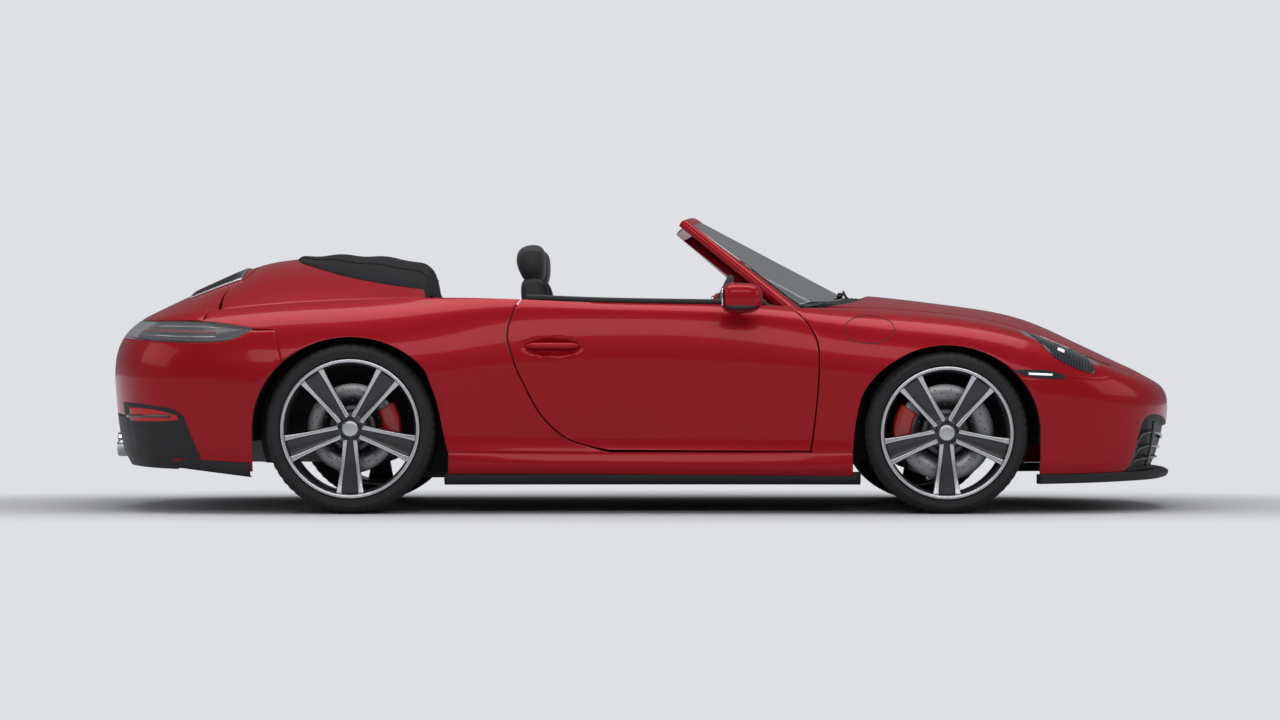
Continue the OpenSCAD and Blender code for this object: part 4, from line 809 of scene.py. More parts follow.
# ---- Engine lid --------------------------------------------------------------------------------
# The lacquered tail lid between the lamps. Its air grille, black blades in a bright rim, stands on
# the lid's skin.
lid_front = np.array([[-1645, 0], [-1648, 250], [-1672, 430], [-1740, 560], [-1795, 660]]) / 1000
lid_front = lid_front + [shift_x, 0]
engine_hinge_x = -1.545 + shift_x
grille_x, grille_y = (-1.900 + shift_x, -1.690 + shift_x), 0.430
rim = steps([[0, top], lid_corner - [0.02, 0]], 40)
under = np.stack([rim[:, 0], np.interp(rim[:, 0], lamp_high[:, 0], lamp_high[:, 1]) + 0.08], 1)
corner_at = side(lid_corner + [0.165, 0])[:2] - [0, 0.004]
front_edge = curve([*lid_front[:4], corner_at], 40)
rim_at = side(rim)[:, :2]
deck = on_lid(spanned(rim_at, front_edge, 24))
lower = [under + (rim - under) * t for t in (0, 0.25, 0.5, 0.75)]
outer = np.concatenate([np.stack([side(k) for k in lower], 1), deck], 1)
down = np.concatenate([np.stack([-0.014 * side_normal(k) for k in lower], 1),
                       np.broadcast_to([0, 0, -lid_depth], deck.shape)], 1)
tail_lid = plate("engine_lid_skin", both_tail(outer), both_tail(outer + down), red_lacquer)
cut(tail_lid, box_mesh("opening", (grille_x[0], -grille_y, 0.7), (grille_x[1], grille_y, 1.2),
                       red_lacquer))
fit(rounded(tail_lid, 0.0025), "engine_lid", "paint", "engine_lid")
blades = []
for k, y in enumerate(np.linspace(-grille_y + 0.012, grille_y - 0.012, 31)):
    line = np.stack([np.linspace(grille_x[0] + 0.004, grille_x[1] - 0.004, 12), np.full(12, y)], 1)
    at = on_lid(np.stack([line, line + [0, 0.006]], 1), 0.012)
    blades.append(rounded(plate(f"air_blade_{k}", at[:, ::-1], at[:, ::-1] - [0, 0.003, 0.010],
                                gloss_black), 0.001))
rim_line = np.concatenate([steps([[grille_x[0], -grille_y], [grille_x[1], -grille_y]], 12)[:-1],
                           steps([[grille_x[1], -grille_y], [grille_x[1], grille_y]], 40)[:-1],
                           steps([[grille_x[1], grille_y], [grille_x[0], grille_y]], 12)[:-1],
                           steps([[grille_x[0], grille_y], [grille_x[0], -grille_y]], 40)])
bright_rim = tube("air_rim", on_lid(rim_line, 0.004), 0.0060, satin_metal, 10)
pan = rounded(lid_plate("air_pan", np.stack([np.stack([np.linspace(*grille_x, 20), np.full(20, y)],
              1) for y in np.linspace(0, grille_y, 20)]), 0.004, black_plastic, 0.003), 0.001)
for part in (*blades, bright_rim, pan):
    fit(part, "engine_lid", "gloss_black")
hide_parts("engine_grille")
for s, hand in sides:
    turn = np.radians(np.linspace(172, 234, 16))
    line = np.stack([engine_hinge_x + 0.119 * np.cos(turn), np.full(16, s * 0.150),
                     1.000 + 0.119 * np.sin(turn)], 1)
    line = np.concatenate([line, [[engine_hinge_x, s * 0.150, 1.000]]])
    fit(tube(f"engine_lid_neck_{hand}", line, 0.007, dark_metal, 10), "engine_lid", "paint")

# ---- Roof lid ----------------------------------------------------------------------------------
# The lacquered deck round the folded roof, from the engine lid to the cabin.
soft_back = np.array([[-1481, 0], [-1470, 180], [-1434, 330]]) / 1000 + [shift_x, 0]
soft_side = np.array([[-1434, 330], [-1345, 440], [-1234, 535], [-1035, 630], [-899, 672]]) / 1000
soft_side = soft_side + [shift_x, 0]
corner_out = side(lid_corner + [0.2, 0])[:2]
outer = chain(curve([*lid_front[:4], corner_out], 40),
              side(steps([lid_corner + [0.2, 0], [7, top]], 40))[:, :2])
inner = chain(curve(soft_back, 24), curve(soft_side, 56))
g = spanned(outer, inner, 16)
gap = np.where(np.arange(len(g)) <= 40, shut_gap + 0.001, seam)[:, None]
toward = g[:, -1] - g[:, 0]
g[:, 0] += toward * gap / np.linalg.norm(toward, axis=1)[:, None]
deck = rounded(lid_plate("roof_lid_skin", g, lid_depth, red_lacquer), 0.0025)
fit(deck, "body", "paint", "roof_lid")
for s, hand in sides:
    pivot = [[engine_hinge_x, s * 0.14, 1.0], [engine_hinge_x, s * 0.168, 1.0]]
    fit(tube(f"lid_pivot_{hand}", pivot, 0.005, dark_metal), "body", "paint")

# ---- Folded roof -------------------------------------------------------------------------------
# The black woven roof lies folded behind the seats under its own top layer, which is drawn over
# the bows, so that it crowns a little, with a sewn seam on either side and a soft fold in front.
flank = curve(soft_side, 56)
back_edge = curve(soft_back, 24)
front_edge = steps([[-0.905 + shift_x, 0], soft_side[4]], 24)
g = between(back_edge, front_edge, steps([back_edge[0], front_edge[0]], 56), flank)
height = lid_z(g[..., 0], g[..., 1])
across = np.linspace(0, 1, 25)[:, None]
along = np.linspace(0, 1, 57)[None]
edge_fall = np.minimum(np.minimum(along / 0.05, 1), np.minimum((1 - across) / 0.07, 1))
edge_fall = np.sin(np.clip(edge_fall, 0, 1) * np.pi / 2)
bows = 0.004 * np.cos(along * 2 * np.pi * 3) * (1 - across ** 4)
front_roll = -0.022 * np.clip((along - 0.93) / 0.07, 0, 1) ** 2
cloth = np.concatenate([g, (height + (0.009 + bows) * edge_fall + front_roll)[..., None]], -1)
cloth[-1, :, 1] -= 0.001
cloth[:, 0, 0] += 0.001


def woven(name, colour, dark, pitch):
    """Woven roof cloth: two crossed wave patterns give the over and under of the threads."""
    made, tree, shader = material(name)
    place = node(tree, "TexCoord").outputs["Object"]
    warp = node(tree, "TexWave", {"wave_type": "BANDS", "bands_direction": "X", "Scale": pitch},
                Vector=place)
    weft = node(tree, "TexWave", {"wave_type": "BANDS", "bands_direction": "Y", "Scale": pitch},
                Vector=place)
    broad = node(tree, "TexNoise", {"Scale": 9.0, "Detail": 5.0}, Vector=place)
    both = node(tree, "Math", {"operation": "MULTIPLY"}, in0=warp.outputs["Fac"],
                in1=weft.outputs["Fac"])
    tone = node(tree, "Math", {"operation": "MULTIPLY_ADD", 1: 0.5}, in0=both.outputs[0],
                in2=broad.outputs["Fac"])
    bump = node(tree, "Bump", {"Strength": 0.4, "Distance": 0.0005}, Height=both.outputs[0])
    dress(tree, shader, {"Base Color": blend(tree, dark, colour, tone.outputs[0]),
                         "Normal": bump.outputs["Normal"], "Roughness": 0.85,
                         "Sheen Weight": 0.05, "Specular IOR Level": 0.08})
    return made


roof_cloth = woven("roof_cloth", (0.017, 0.017, 0.019), (0.007, 0.007, 0.008), 420.0)
roof = plate("folded_roof", both_tail(cloth), both_tail(cloth - [0, 0, 0.12]), roof_cloth)
fit(rounded(roof, 0.006, 3), "body", "soft_top", "folded_top")
for s, hand in sides:
    line = cloth[16] * [1, s, 1] + [0, 0, 0.001]
    fit(tube(f"roof_seam_{hand}", line, 0.003, roof_cloth, 8), "body", "soft_top")

# ---- Windscreen --------------------------------------------------------------------------------
# Laminated glass bonded into a lacquered steel frame, with a black printed band round its edge and
# two wipers resting on the black cowl below it.
half_spans = (0.690, 0.540)


def screen(s, t):
    """Point of the windscreen: straight lines from the foot to the head, which are both curves
    over the width s from -1 to 1."""
    s, t = np.broadcast_arrays(np.asarray(s, float), np.asarray(t, float))
    foot = np.stack([0.905 - 0.245 * np.abs(s) ** 2.2 + shift_x, half_spans[0] * s,
                     0.890 - 0.040 * s ** 2], -1)
    head = np.stack([0.262 - 0.050 * s ** 2 + shift_x, half_spans[1] * s, 1.229 - 0.025 * s ** 2],
                    -1)
    return foot * (1 - t)[..., None] + head * t[..., None]


def screen_normal(s, t):
    """Outward normal of the windscreen: the cross product of its two slopes."""
    n = np.cross(screen(s + 0.01, t) - screen(s - 0.01, t), screen(s, t + 0.01) - screen(s, t - 0.01))
    return n / np.linalg.norm(n, axis=-1, keepdims=True)


def clear_glass(name, colour, roughness, alpha):
    """Thin clear glass: the shader's own transmission, faintly tinted, with a trace of dust that
    roughens it."""
    made, tree, shader = material(name)
    dust = node(tree, "TexNoise", {"Scale": 40.0, "Detail": 6.0},
                Vector=node(tree, "TexCoord").outputs["Object"]).outputs["Fac"]
    dusty = tuple(0.94 * c for c in colour)
    dress(tree, shader, {"Roughness": scaled(tree, dust, 0.04, roughness),
                         "Base Color": blend(tree, dusty, colour, dust),
                         "Transmission Weight": alpha, "IOR": 1.05 if alpha > 0.9 else 1.45})
    return made


screen_glass = clear_glass("screen_glass", (0.93, 0.97, 0.96), 0.0, 1.0)
s = np.linspace(0.9895, -0.9895, 61)[:, None]
t = np.linspace(0, 0.9845, 25)[None]
pane = plate("screen_pane", screen(s, t), screen(s, t) - 0.005 * screen_normal(s, t), screen_glass)
fit(pane, "body", "screen_glass", "windscreen")
rise = np.linspace(-0.05, 0.985, 41)
head = np.linspace(0.99, -0.99, 61)[1:-1]
inner_line = np.concatenate([np.stack([np.full(41, 0.99), rise], 1),
                             np.stack([head, np.full(59, 0.985)], 1),
                             np.stack([np.full(41, -0.99), rise[::-1]], 1)])
pillar = 0.042 / 0.590


def frame_grid(line, out):
    """Grid of the frame bar across its width and back round its section: from the glass edge over
    a slightly crowned face to the outer edge, and along the back."""
    s, t = line[:, 0], line[:, 1]
    far = np.where(np.abs(s) > 0.98, np.sign(s) * (np.abs(s) + pillar), s * (1 + pillar))
    high = np.where(t > 0.98, 1.06, -0.05 + (t + 0.05) * (1.11 / 1.035))
    part = np.linspace(0, 1, 9)[None]
    ss = s[:, None] + (far - s)[:, None] * part
    tt = t[:, None] + (high - t)[:, None] * part
    n = screen_normal(s[:, None] + 0 * part, t[:, None] + 0 * part)
    crown_rise = 0.004 * np.sin(part * np.pi) - 0.010 * part ** 8
    depth = 0.040 * (1 - 0.2 * part)
    face = screen(ss, tt)
    return (face + n * crown_rise[..., None]) if out else (face - n * depth[..., None])


bar = plate("screen_frame", frame_grid(inner_line, True), frame_grid(inner_line, False),
            red_lacquer)
fit(rounded(bar, 0.004, 3), "body", "paint", "windscreen_frame")
band = inner_line.copy()
band_in = np.stack([band[:, 0] * 0.955, np.minimum(band[:, 1], 0.945)], 1)
part = np.linspace(0, 1, 5)[None, :, None]
at = band[:, None] * (1 - part) + band_in[:, None] * part
keep = slice(2, -2)
normal = screen_normal(at[..., 0], at[..., 1])
edge_band = plate("screen_band", (screen(at[..., 0], at[..., 1]) - 0.0054 * normal)[keep][:, ::-1],
                  (screen(at[..., 0], at[..., 1]) - 0.0068 * normal)[keep][:, ::-1], gloss_black)
fit(edge_band, "body", "gloss_black")
s = np.linspace(0, 0.82, 41)
base_line = screen(s, 0 * s)[:, :2] + [0.003, 0]
front_line = curve(hood_back[:4], 40)
front_line = np.stack([front_line[:, 0] - 0.006, np.minimum(front_line[:, 1], base_line[:, 1])], 1)
g = spanned(base_line, front_line, 14)
slots = 0.003 * (np.abs(((np.arange(15) + 1) % 4) - 1.5) < 1)[None]
cowl_top = on_lid(g, -0.010) - np.array([0, 0, 1]) * slots[..., None]
cowl = rounded(plate("screen_cowl", both_tail(cowl_top), both_tail(on_lid(g, -0.040)),
                     black_plastic), 0.001)
fit(cowl, "body", "black_plastic", "cowl")
for k, (s0, s1, span) in enumerate(((-0.48, 0.12, 0.56), (0.14, 0.74, 0.56))):
    across = np.linspace(s0, s1, 24)
    low = 0.035 + 0.045 * (across - s0)
    line = screen(across, low) + 0.010 * screen_normal(across, low)
    blade = tube(f"wiper_blade_{k}", line, np.r_[0.004, np.full(22, 0.007), 0.004], black_rubber, 10)
    foot = screen(s0 + 0.10, -0.04) + [0.02, 0, 0.012]
    arm_line = curve([foot, foot + [-0.03, 0.08, 0.014], line[12] + [0.004, 0, 0.014]], 20)
    arm = tube(f"wiper_arm_{k}", arm_line, np.linspace(0.010, 0.005, 21), black_plastic, 10, 0.6)
    fit(blade, "body", "black_plastic")
    fit(arm, "body", "black_plastic")

# ---- Headlamps ---------------------------------------------------------------------------------
# A clear cover bonded flush into each fender, over a dark bowl with a projector and four short
# bars of light.
lamp_outer = np.array([[14.1, 5.95], [14.35, 5.5], [14.85, 5.25], [15.2, 5.35]])
lamp_inner = np.array([[14.15, 6.8], [14.5, 6.85], [15.0, 6.7], [15.35, 6.3]])
lamp_back = np.array([[14.1, 5.95], [14.04, 6.4], [14.15, 6.8]])
lamp_front = np.array([[15.2, 5.35], [15.4, 5.8], [15.35, 6.3]])
g = between(curve(lamp_outer, 40), curve(lamp_inner, 40), curve(lamp_back, 30),
            curve(lamp_front, 30))
lamp_cover = clear_glass("lamp_cover", (0.93, 0.95, 0.97), 0.0, 1.0)
middle = np.array([14.75, 6.1])
wide = middle + (g - middle) * 1.006
lamp_hole = plate("lamp_hole", side(wide) + 0.04 * side_normal(wide),
                  side(wide) - 0.06 * side_normal(wide), red_lacquer)
fender = bpy.data.objects["front_fender_left"]
keep_rounding = fender.modifiers[0].width
fender.modifiers.clear()
cut(fender, lamp_hole)
rounded(fender, keep_rounding)
bpy.data.objects.remove(bpy.data.objects["front_fender_right"])
fit(mirrored(fender, "front_fender_right"), "body", "paint", "front_fenders")
glass = rounded(plate("lamp_cover_left", side(g), side(g) - 0.0022 * side_normal(g), lamp_cover),
                0.0008)
far = np.abs(np.linspace(-1, 1, 41))[:, None]
near = np.abs(np.linspace(-1, 1, 31))[None]
sink = (0.006 + 0.036 * (1 - far ** 4) * (1 - near ** 4))[..., None]
bowl = plate("lamp_bowl_left", side(g) - sink * side_normal(g),
             side(g) - (sink + 0.0015) * side_normal(g), gloss_black)


def glowing(name, colour, strength):
    """Light guide: a pale plastic with a faint glow, brighter in fine ribs."""
    made, tree, shader = material(name)
    ribs = node(tree, "TexWave", {"wave_type": "BANDS", "bands_direction": "X", "Scale": 90.0},
                Vector=node(tree, "TexCoord").outputs["Object"])
    tone = blend(tree, tuple(c * 0.8 for c in colour), colour, ribs.outputs["Fac"])
    dress(tree, shader, {"Base Color": tone, "Emission Color": tone,
                         "Emission Strength": strength, "Roughness": 0.25})
    return made


white_guide = glowing("white_guide", (0.9, 0.93, 1.0), 0.5)
lamp_parts = [glass, bowl]
centre_q = np.array([14.72, 6.05])
axis = side_normal(centre_q)
lens_at = side(centre_q) - 0.030 * axis
ring = np.linspace(0, 2 * np.pi, 33)
flat_a = np.cross(axis, [0, 0, 1])
flat_a /= np.linalg.norm(flat_a)
flat_b = np.cross(axis, flat_a)
dome = np.linspace(0, 1, 9)[:, None, None]
radius = 0.034 * (1 - dome ** 2 * 0.999)
lens = wrapped("lamp_lens_left", lens_at + radius * (flat_a * np.cos(ring)[None, :, None]
               + flat_b * np.sin(ring)[None, :, None]) + axis * 0.014 * np.sin(dome * np.pi / 2),
               polished_steel)
lamp_parts.append(lens)
for a, b in ((-1, -1), (1, -1), (-1, 1), (1, 1)):
    mid = centre_q + [a * 0.24, b * 0.24]
    line_q = np.stack([mid[0] + np.linspace(-0.10, 0.10, 9), np.full(9, mid[1])], 1)
    line = side(line_q) - 0.012 * side_normal(line_q)
    lamp_parts.append(tube(f"lamp_bar_{(a + 1) // 2}{(b + 1) // 2}_left", line, 0.0035, white_guide,
                           10))
for part in lamp_parts:
    fit_pair(part, "body", "lamp_glass")
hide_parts("headlamps")

# ---- Tail lamps --------------------------------------------------------------------------------
# One lamp band round the whole tail: smoked glass over a black bed with three level ribs, of which
# the middle one is a red light guide.
line_low, line_high = lamp_line, curve(lamp_high, 16 * fine)
tip_end = steps([line_low[-1], line_high[-1]], 12)
g = between(line_low, line_high, steps([line_low[0], line_high[0]], 12), tip_end)
smoked = clear_glass("smoked_glass", (0.78, 0.78, 0.8), 0.02, 0.93)
at, n = side(g), side_normal(g)
cover = plate("tail_lamp_cover", both_tail(at), both_tail(at - 0.002 * n), smoked)
bed = plate("tail_lamp_bed", both_tail(at - 0.010 * n), both_tail(at - 0.018 * n), gloss_black)
# red light guide of the tail lamp; the same glow on the tail reflector lens is painted light, a
# reflector being no lamp
red_guide = glowing("red_guide", (0.5, 0.02, 0.02), 0.06)
lamp_set = [cover, bed]
for k, part in enumerate((0.26, 0.5, 0.74)):
    stop = 14 * fine
    line_q = (line_low * (1 - part) + line_high * part)[:stop]
    line = side(line_q) - 0.0065 * side_normal(line_q)
    lamp_set.append(tube(f"tail_lamp_rib_{k}", both_tail(line), 0.0034,
                         silvered_glass if k != 1 else red_guide, 8))
for k, line_q in enumerate((line_low, line_high)):
    inward_step = (line_high - line_low) * (0.035 if k == 0 else -0.035)
    line = side(line_q + inward_step) - 0.0035 * side_normal(line_q)
    lamp_set.append(tube(f"tail_lamp_edge_{k}", both_tail(line), 0.005, gloss_black, 8))
for part in lamp_set:
    fit(part, "body", "lamp_glass")
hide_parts("tail_lamp")

# ---- Openings under the nose -------------------------------------------------------------------
# Moulded black insert below the bumper skin, dished all the way round the nose, with three level
# slats across it and one upright blade at each side.
keep = nose_line[:, 1] > 0.4
high = nose_line[keep] + [0.001, -0.007]
nose_low = np.stack([high[:, 0], 0 * high[:, 0]], 1)
g = spanned(nose_low, high, 24)
depth_v = np.linspace(0, 1, 25)[None]
along = np.linspace(0, 1, len(g))[:, None]
hollow = np.clip(np.minimum(depth_v / 0.10, (1 - depth_v) / 0.08), 0, 1)
hollow = hollow * np.clip(np.minimum(along / 0.10, (0.96 - along) / 0.05), 0, 1)
sunk = side(g) - (0.024 * hollow)[..., None] * side_normal(g)
insert = plate("nose_insert", both_nose(sunk), both_nose(sunk - 0.004 * side_normal(g)),
               black_plastic)
nose_parts = [insert]
for k, part in enumerate((0.28, 0.5, 0.72)):
    line_q = (nose_low * (1 - part) + high * part)[4:-2]
    line = side(line_q) - 0.008 * side_normal(line_q)
    nose_parts.append(tube(f"nose_slat_{k}", both_nose(line), 0.006, gloss_black, 10, 1.0))
for sign, name in sides:
    line_q = np.stack([np.full(12, 16.75), np.linspace(0.35, 2.95, 12)], 1)
    line = (side(line_q) - 0.003 * side_normal(line_q)) * [1, sign, 1]
    nose_parts.append(tube("nose_blade_" + name, line, 0.007, gloss_black, 10))
for part in nose_parts:
    fit(part, "body", "black_plastic")
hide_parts("front_intakes")

# ---- Tail: diffuser, pipes, reflectors ---------------------------------------------------------
# Grained black moulding below the rear bumper, two round bright tailpipes let through it, and a
# dark red reflector at each side.
high = tail_line - [0.001, 0.007]
tail_low = np.stack([np.minimum(high[:, 0], 3.5), 0 * high[:, 0]], 1)
g = spanned(tail_low, high, 24)
diffuser = plate("tail_diffuser", both_tail(side(g)), both_tail(side(g) - 0.012 * side_normal(g)),
                 black_plastic)
pipe_x, pipe_y, pipe_z = -2.245 + shift_x, 0.160, 0.270
cut(diffuser, *[tube("pipe_hole", [(pipe_x - 0.2, s * pipe_y, pipe_z),
                                   (pipe_x + 0.3, s * pipe_y, pipe_z)], 0.054, black_plastic, 48)
                for s in (1, -1)])
fit(diffuser, "body", "black_plastic", "rear_diffuser")
for s, name in sides:
    a = np.linspace(0, 2 * np.pi, 65)
    profile = np.array([[0.047, 0.13], [0.047, 0.006], [0.0480, 0.001], [0.0495, 0], [0.0512, 0.001],
                        [0.052, 0.006], [0.052, 0.149], [0.0, 0.15], [0.0, 0.13]])
    at = np.stack([pipe_x + np.broadcast_to(profile[:, 1:], (9, 65)),
                   s * pipe_y + profile[:, :1] * np.cos(a), pipe_z + profile[:, :1] * np.sin(a)], -1)
    pipe = wrapped("tailpipe_" + name, np.concatenate([at[-1:], at]), polished_steel)
    fit(pipe, "body", "pipe")
    # black lining closed at its far end inside each pipe: real carbon deposit and painted shade deep in
    # the pipe
    carbon_and_shade = wrapped("tailpipe_soot_" + name, np.stack([pipe_x + 0.02 + 0.1 * np.linspace(0, 1, 8)[
        :, None] + 0 * a, s * pipe_y + (0.0465 * (1 - np.linspace(0, 1, 8) ** 9))[:, None]
        * np.cos(a), pipe_z + (0.0465 * (1 - np.linspace(0, 1, 8) ** 9))[:, None] * np.sin(a)], -1),
        black_rubber)
    fit(carbon_and_shade, "body", "pipe")
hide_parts("tailpipes")
red_reflector = moulded("red_reflector", (0.12, 0.004, 0.006), (0.05, 0.002, 0.003), 0.12, 260, 0.6,
                        coat=1.0)
for s, name in sides:
    for k, (radius, rise, made) in enumerate(((0.016, 0.0, gloss_black), (0.010, 0.004,
                                                                         red_reflector))):
        line_q = hit(np.stack([np.linspace(-2.135, -1.930, 24) + shift_x,
                               np.full(24, 0.400)], 1))
        line = (side(line_q) + (rise - 0.6 * radius) * side_normal(line_q)) * [1, s, 1]
        fit(tube(f"reflector_{k}_{name}", line, radius, made, 14), "body", "lamp_glass")

# ---- Wheels ------------------------------------------------------------------------------------
# Cast light-alloy wheels with five pairs of slim spokes, their faces machined bright, their flanks
# and the web between each pair dark, on low tyres with four grooves round the tread.


def lathe(name, profile, centre, material, n=128, start=0, end=360):
    """A profile of radius and place across the car, turned about the axle; a part turn is closed
    by flat ends."""
    profile = np.asarray(profile, float)
    a = np.radians(np.linspace(start, end, n + 1))
    at = np.stack([centre[0] + np.cos(a)[:, None] * profile[None, :, 0],
                   centre[1] + 0 * a[:, None] + profile[None, :, 1],
                   centre[2] + np.sin(a)[:, None] * profile[None, :, 0]], -1)
    m = len(profile)
    faces = ring_faces(n, m)
    return tidied(piece(name, at, faces if end - start < 360 else faces[:1], material))


tyre_rubber = moulded("tyre_rubber", (0.030, 0.030, 0.031), (0.015, 0.015, 0.016), 0.62, 500, 0.3)
machined = brushed("machined_alloy", (0.62, 0.63, 0.65), 0.2, 500.0, 0.25)
dark_alloy = moulded("dark_alloy", (0.05, 0.05, 0.053), (0.025, 0.025, 0.028), 0.3, 700, 0.1,
                     coat=0.4)
disc_steel = brushed("disc_steel", (0.30, 0.30, 0.31), 0.32, 900.0, 0.4)
caliper_red = moulded("caliper_red", (0.55, 0.02, 0.02), (0.35, 0.012, 0.012), 0.2, 300, 0.08,
                      coat=0.8)
disc_t, disc_flare, spoke_count = 0.034, 0.0002, 5
bolt_circle, bolt_r, hole_r, hole_sides, hole_rows, hole_lines = 0.056, 0.0105, 0.0036, 10, 5, 16
tyre_steps, body_half = 240, 0.926
# end, axle, middle plane, tyre's radius, rim's radius, tyre's width, disc's radius and its setback
wheel_sets = (("front", front_x, body_half - 0.022 - 0.1225, front_r, 0.273, 0.245, 0.200, 0.0),
              ("rear", rear_x, body_half - 0.016 - 0.1525, rear_r, 0.286, 0.305, 0.186, 0.010))
for end, x, plane, r, rim_r, w, disc_r, disc_in in wheel_sets:
    h = w / 2
    centre = (x, plane, r)
    # Tyre: bead, flank with a protecting rib, shoulder and a tread with four grooves
    half = [[rim_r - 0.008, -h + 0.040], [rim_r - 0.008, -h + 0.022], [rim_r + 0.003, -h + 0.012],
            [rim_r + 0.008, -h + 0.006], [rim_r + 0.012, -h + 0.0035], [rim_r + 0.016, -h + 0.0045],
            [(r + rim_r) / 2 - 0.006, -h + 0.0005], [(r + rim_r) / 2, -h],
            [(r + rim_r) / 2 + 0.008, -h + 0.0005], [r - 0.024, -h + 0.005],
            [r - 0.022, -h + 0.0065], [r - 0.014, -h + 0.011], [r - 0.008, -h + 0.020],
            [r - 0.003, -h + 0.032], [r - 0.0005, -h + 0.046]]
    tread = []
    for middle_y in (-0.29, -0.1, 0.1, 0.29):
        y0 = middle_y * w
        tread += [[r - 0.0002, y0 - 0.0062], [r - 0.007, y0 - 0.0046], [r - 0.007, y0 + 0.0046],
                  [r - 0.0002, y0 + 0.0062]]
    profile = half + tread + [[a, -b] for a, b in half[::-1]]
    profile += [[r - 0.030, h - 0.040], [r - 0.030, -h + 0.040]]
    tyre = lathe(f"{end}_tyre_rubber_left", profile, centre, tyre_rubber, tyre_steps)
    at = np.empty(len(tyre.data.vertices) * 3)
    tyre.data.vertices.foreach_get("co", at)
    at = at.reshape(-1, 3)
    turn = np.arctan2(at[:, 2] - r, at[:, 0] - x) / (2 * np.pi) * tyre_steps
    radius = np.hypot(at[:, 0] - x, at[:, 2] - r)
    out = np.abs(at[:, 1] - plane)
    slot_mask = ((np.round(turn) % 4) == 0) & (radius > r - 0.0145) & (out > 0.27 * w) & (
        out < h - 0.008)
    shrink = np.where(slot_mask, (radius - 0.0045) / radius, 1)
    at[:, 0] = x + (at[:, 0] - x) * shrink
    at[:, 2] = r + (at[:, 2] - r) * shrink
    tyre.data.vertices.foreach_set("co", at.ravel())
    # Rim: both flanges, the drop and the barrel
    barrel = [[rim_r - 0.0083, -h + 0.040], [rim_r - 0.0083, -h + 0.0135], [rim_r - 0.002, -h + 0.0125],
              [rim_r, -h + 0.010], [rim_r, -h + 0.007], [rim_r - 0.002, -h + 0.0055],
              [rim_r - 0.012, -h + 0.0055], [rim_r - 0.020, -h + 0.012], [rim_r - 0.022, -h + 0.05],
              [rim_r - 0.024, 0], [rim_r - 0.024, h - 0.050], [rim_r - 0.017, h - 0.018],
              [rim_r - 0.014, h - 0.008], [rim_r - 0.010, h - 0.0055], [rim_r - 0.002, h - 0.0055],
              [rim_r, h - 0.007], [rim_r, h - 0.010], [rim_r - 0.002, h - 0.0125],
              [rim_r - 0.0083, h - 0.0135], [rim_r - 0.0083, h - 0.039], [rim_r - 0.016, h - 0.060],
              [rim_r - 0.016, -h + 0.060]]
    rim = lathe(f"{end}_rim_left", barrel, centre, machined, 160)
    rim.data.materials.append(dark_alloy)
    deep = [np.hypot(poly.center[0] - x, poly.center[2] - r) < rim_r - 0.0125
            for poly in rim.data.polygons]
    rim.data.polygons.foreach_set("material_index", np.array(deep, np.int32))
    # Spokes: bars whose machined face dips towards the hub and narrows outwards
    along = np.linspace(0, 1, 25)
    hub_r, tip_r = 0.046, rim_r - 0.0175
    line_r = (hub_r + (tip_r - hub_r) * along)[:, None]
    apart = 0.0205 + 0.0255 * along ** 1.15
    wide = 0.0105 - 0.002 * np.sin(along * np.pi) + 0.0035 * along ** 6
    face = h - 0.0290 + 0.0135 * along ** 1.6 - 0.006 * np.sin(along * np.pi)
    section = np.array([[-1, -1.0], [-1, -0.12], [-0.82, 0.0], [0.82, 0.0], [1, -0.12], [1, -1.0]])
    spokes = []
    for k in range(spoke_count):
        base = np.radians(270 + 360 / spoke_count * k)
        for s in (-1, 1):
            across = s * apart[:, None] + wide[:, None] * section[None, :, 0]
            depth = face[:, None] + (0.034 - 0.012 * along)[:, None] * section[None, :, 1]
            px = line_r * np.cos(base) - across * np.sin(base)
            pz = line_r * np.sin(base) + across * np.cos(base)
            at = np.stack([x + px, plane + depth, r + pz], -1)
            bar = tidied(piece(f"{end}_spoke_{k}_{(s + 1) // 2}_left", at,
                               ring_faces(len(along) - 1, len(section)), dark_alloy))
            bar.data.materials.append(machined)
            bright = [poly.normal[1] > 0.75 for poly in bar.data.polygons]
            bar.data.polygons.foreach_set("material_index", np.array(bright, np.int32))
            spokes.append(rounded(bar, 0.0016, 2, 30))
        # the dark web that joins each pair of bars, set back from their machined faces
        part = np.linspace(-1, 1, 7)[None]
        web_across = apart[:, None] * part
        web_face = (face - 0.005)[:, None] - 0.006 * (1 - part ** 2)
        web = np.stack([x + line_r * np.cos(base) - web_across * np.sin(base), plane + web_face,
                        r + line_r * np.sin(base) + web_across * np.cos(base)], -1)
        spokes.append(tidied(plate(f"{end}_web_{k}_left", web, web - [0, 0.016, 0], dark_alloy)))
    hub = lathe(f"{end}_hub_left", [[0.0, -0.02], [0.072, -0.02], [0.074, h - 0.062],
                                    [0.070, h - 0.044], [0.062, h - 0.038], [0.052, h - 0.036],
                                    [0.038, h - 0.0345], [0.036, h - 0.031], [0.0, h - 0.031]],
                centre, dark_alloy, 96)
    cap = lathe(f"{end}_cap_left", [[0.0, h - 0.034], [0.033, h - 0.034], [0.033, h - 0.026],
                                    [0.031, h - 0.0235], [0.026, h - 0.0225], [0.015, h - 0.0215],
                                    [0.0, h - 0.0212]], centre, satin_metal, 64)
    bolts = []
    for k in range(5):
        c = np.radians(90 + 72 * k)
        bolt_at = (x + bolt_circle * np.cos(c), plane, r + bolt_circle * np.sin(c))
        bolts.append(lathe(f"{end}_bolt_{k}_left", [[0.0, h - 0.05], [bolt_r, h - 0.05],
                                                    [bolt_r, h - 0.031], [0.008, h - 0.0285],
                                                    [0.0, h - 0.0285]], bolt_at, dark_metal, 6))
    valve_at = (x + (rim_r - 0.032) * np.cos(0.3), plane, r + (rim_r - 0.032) * np.sin(0.3))
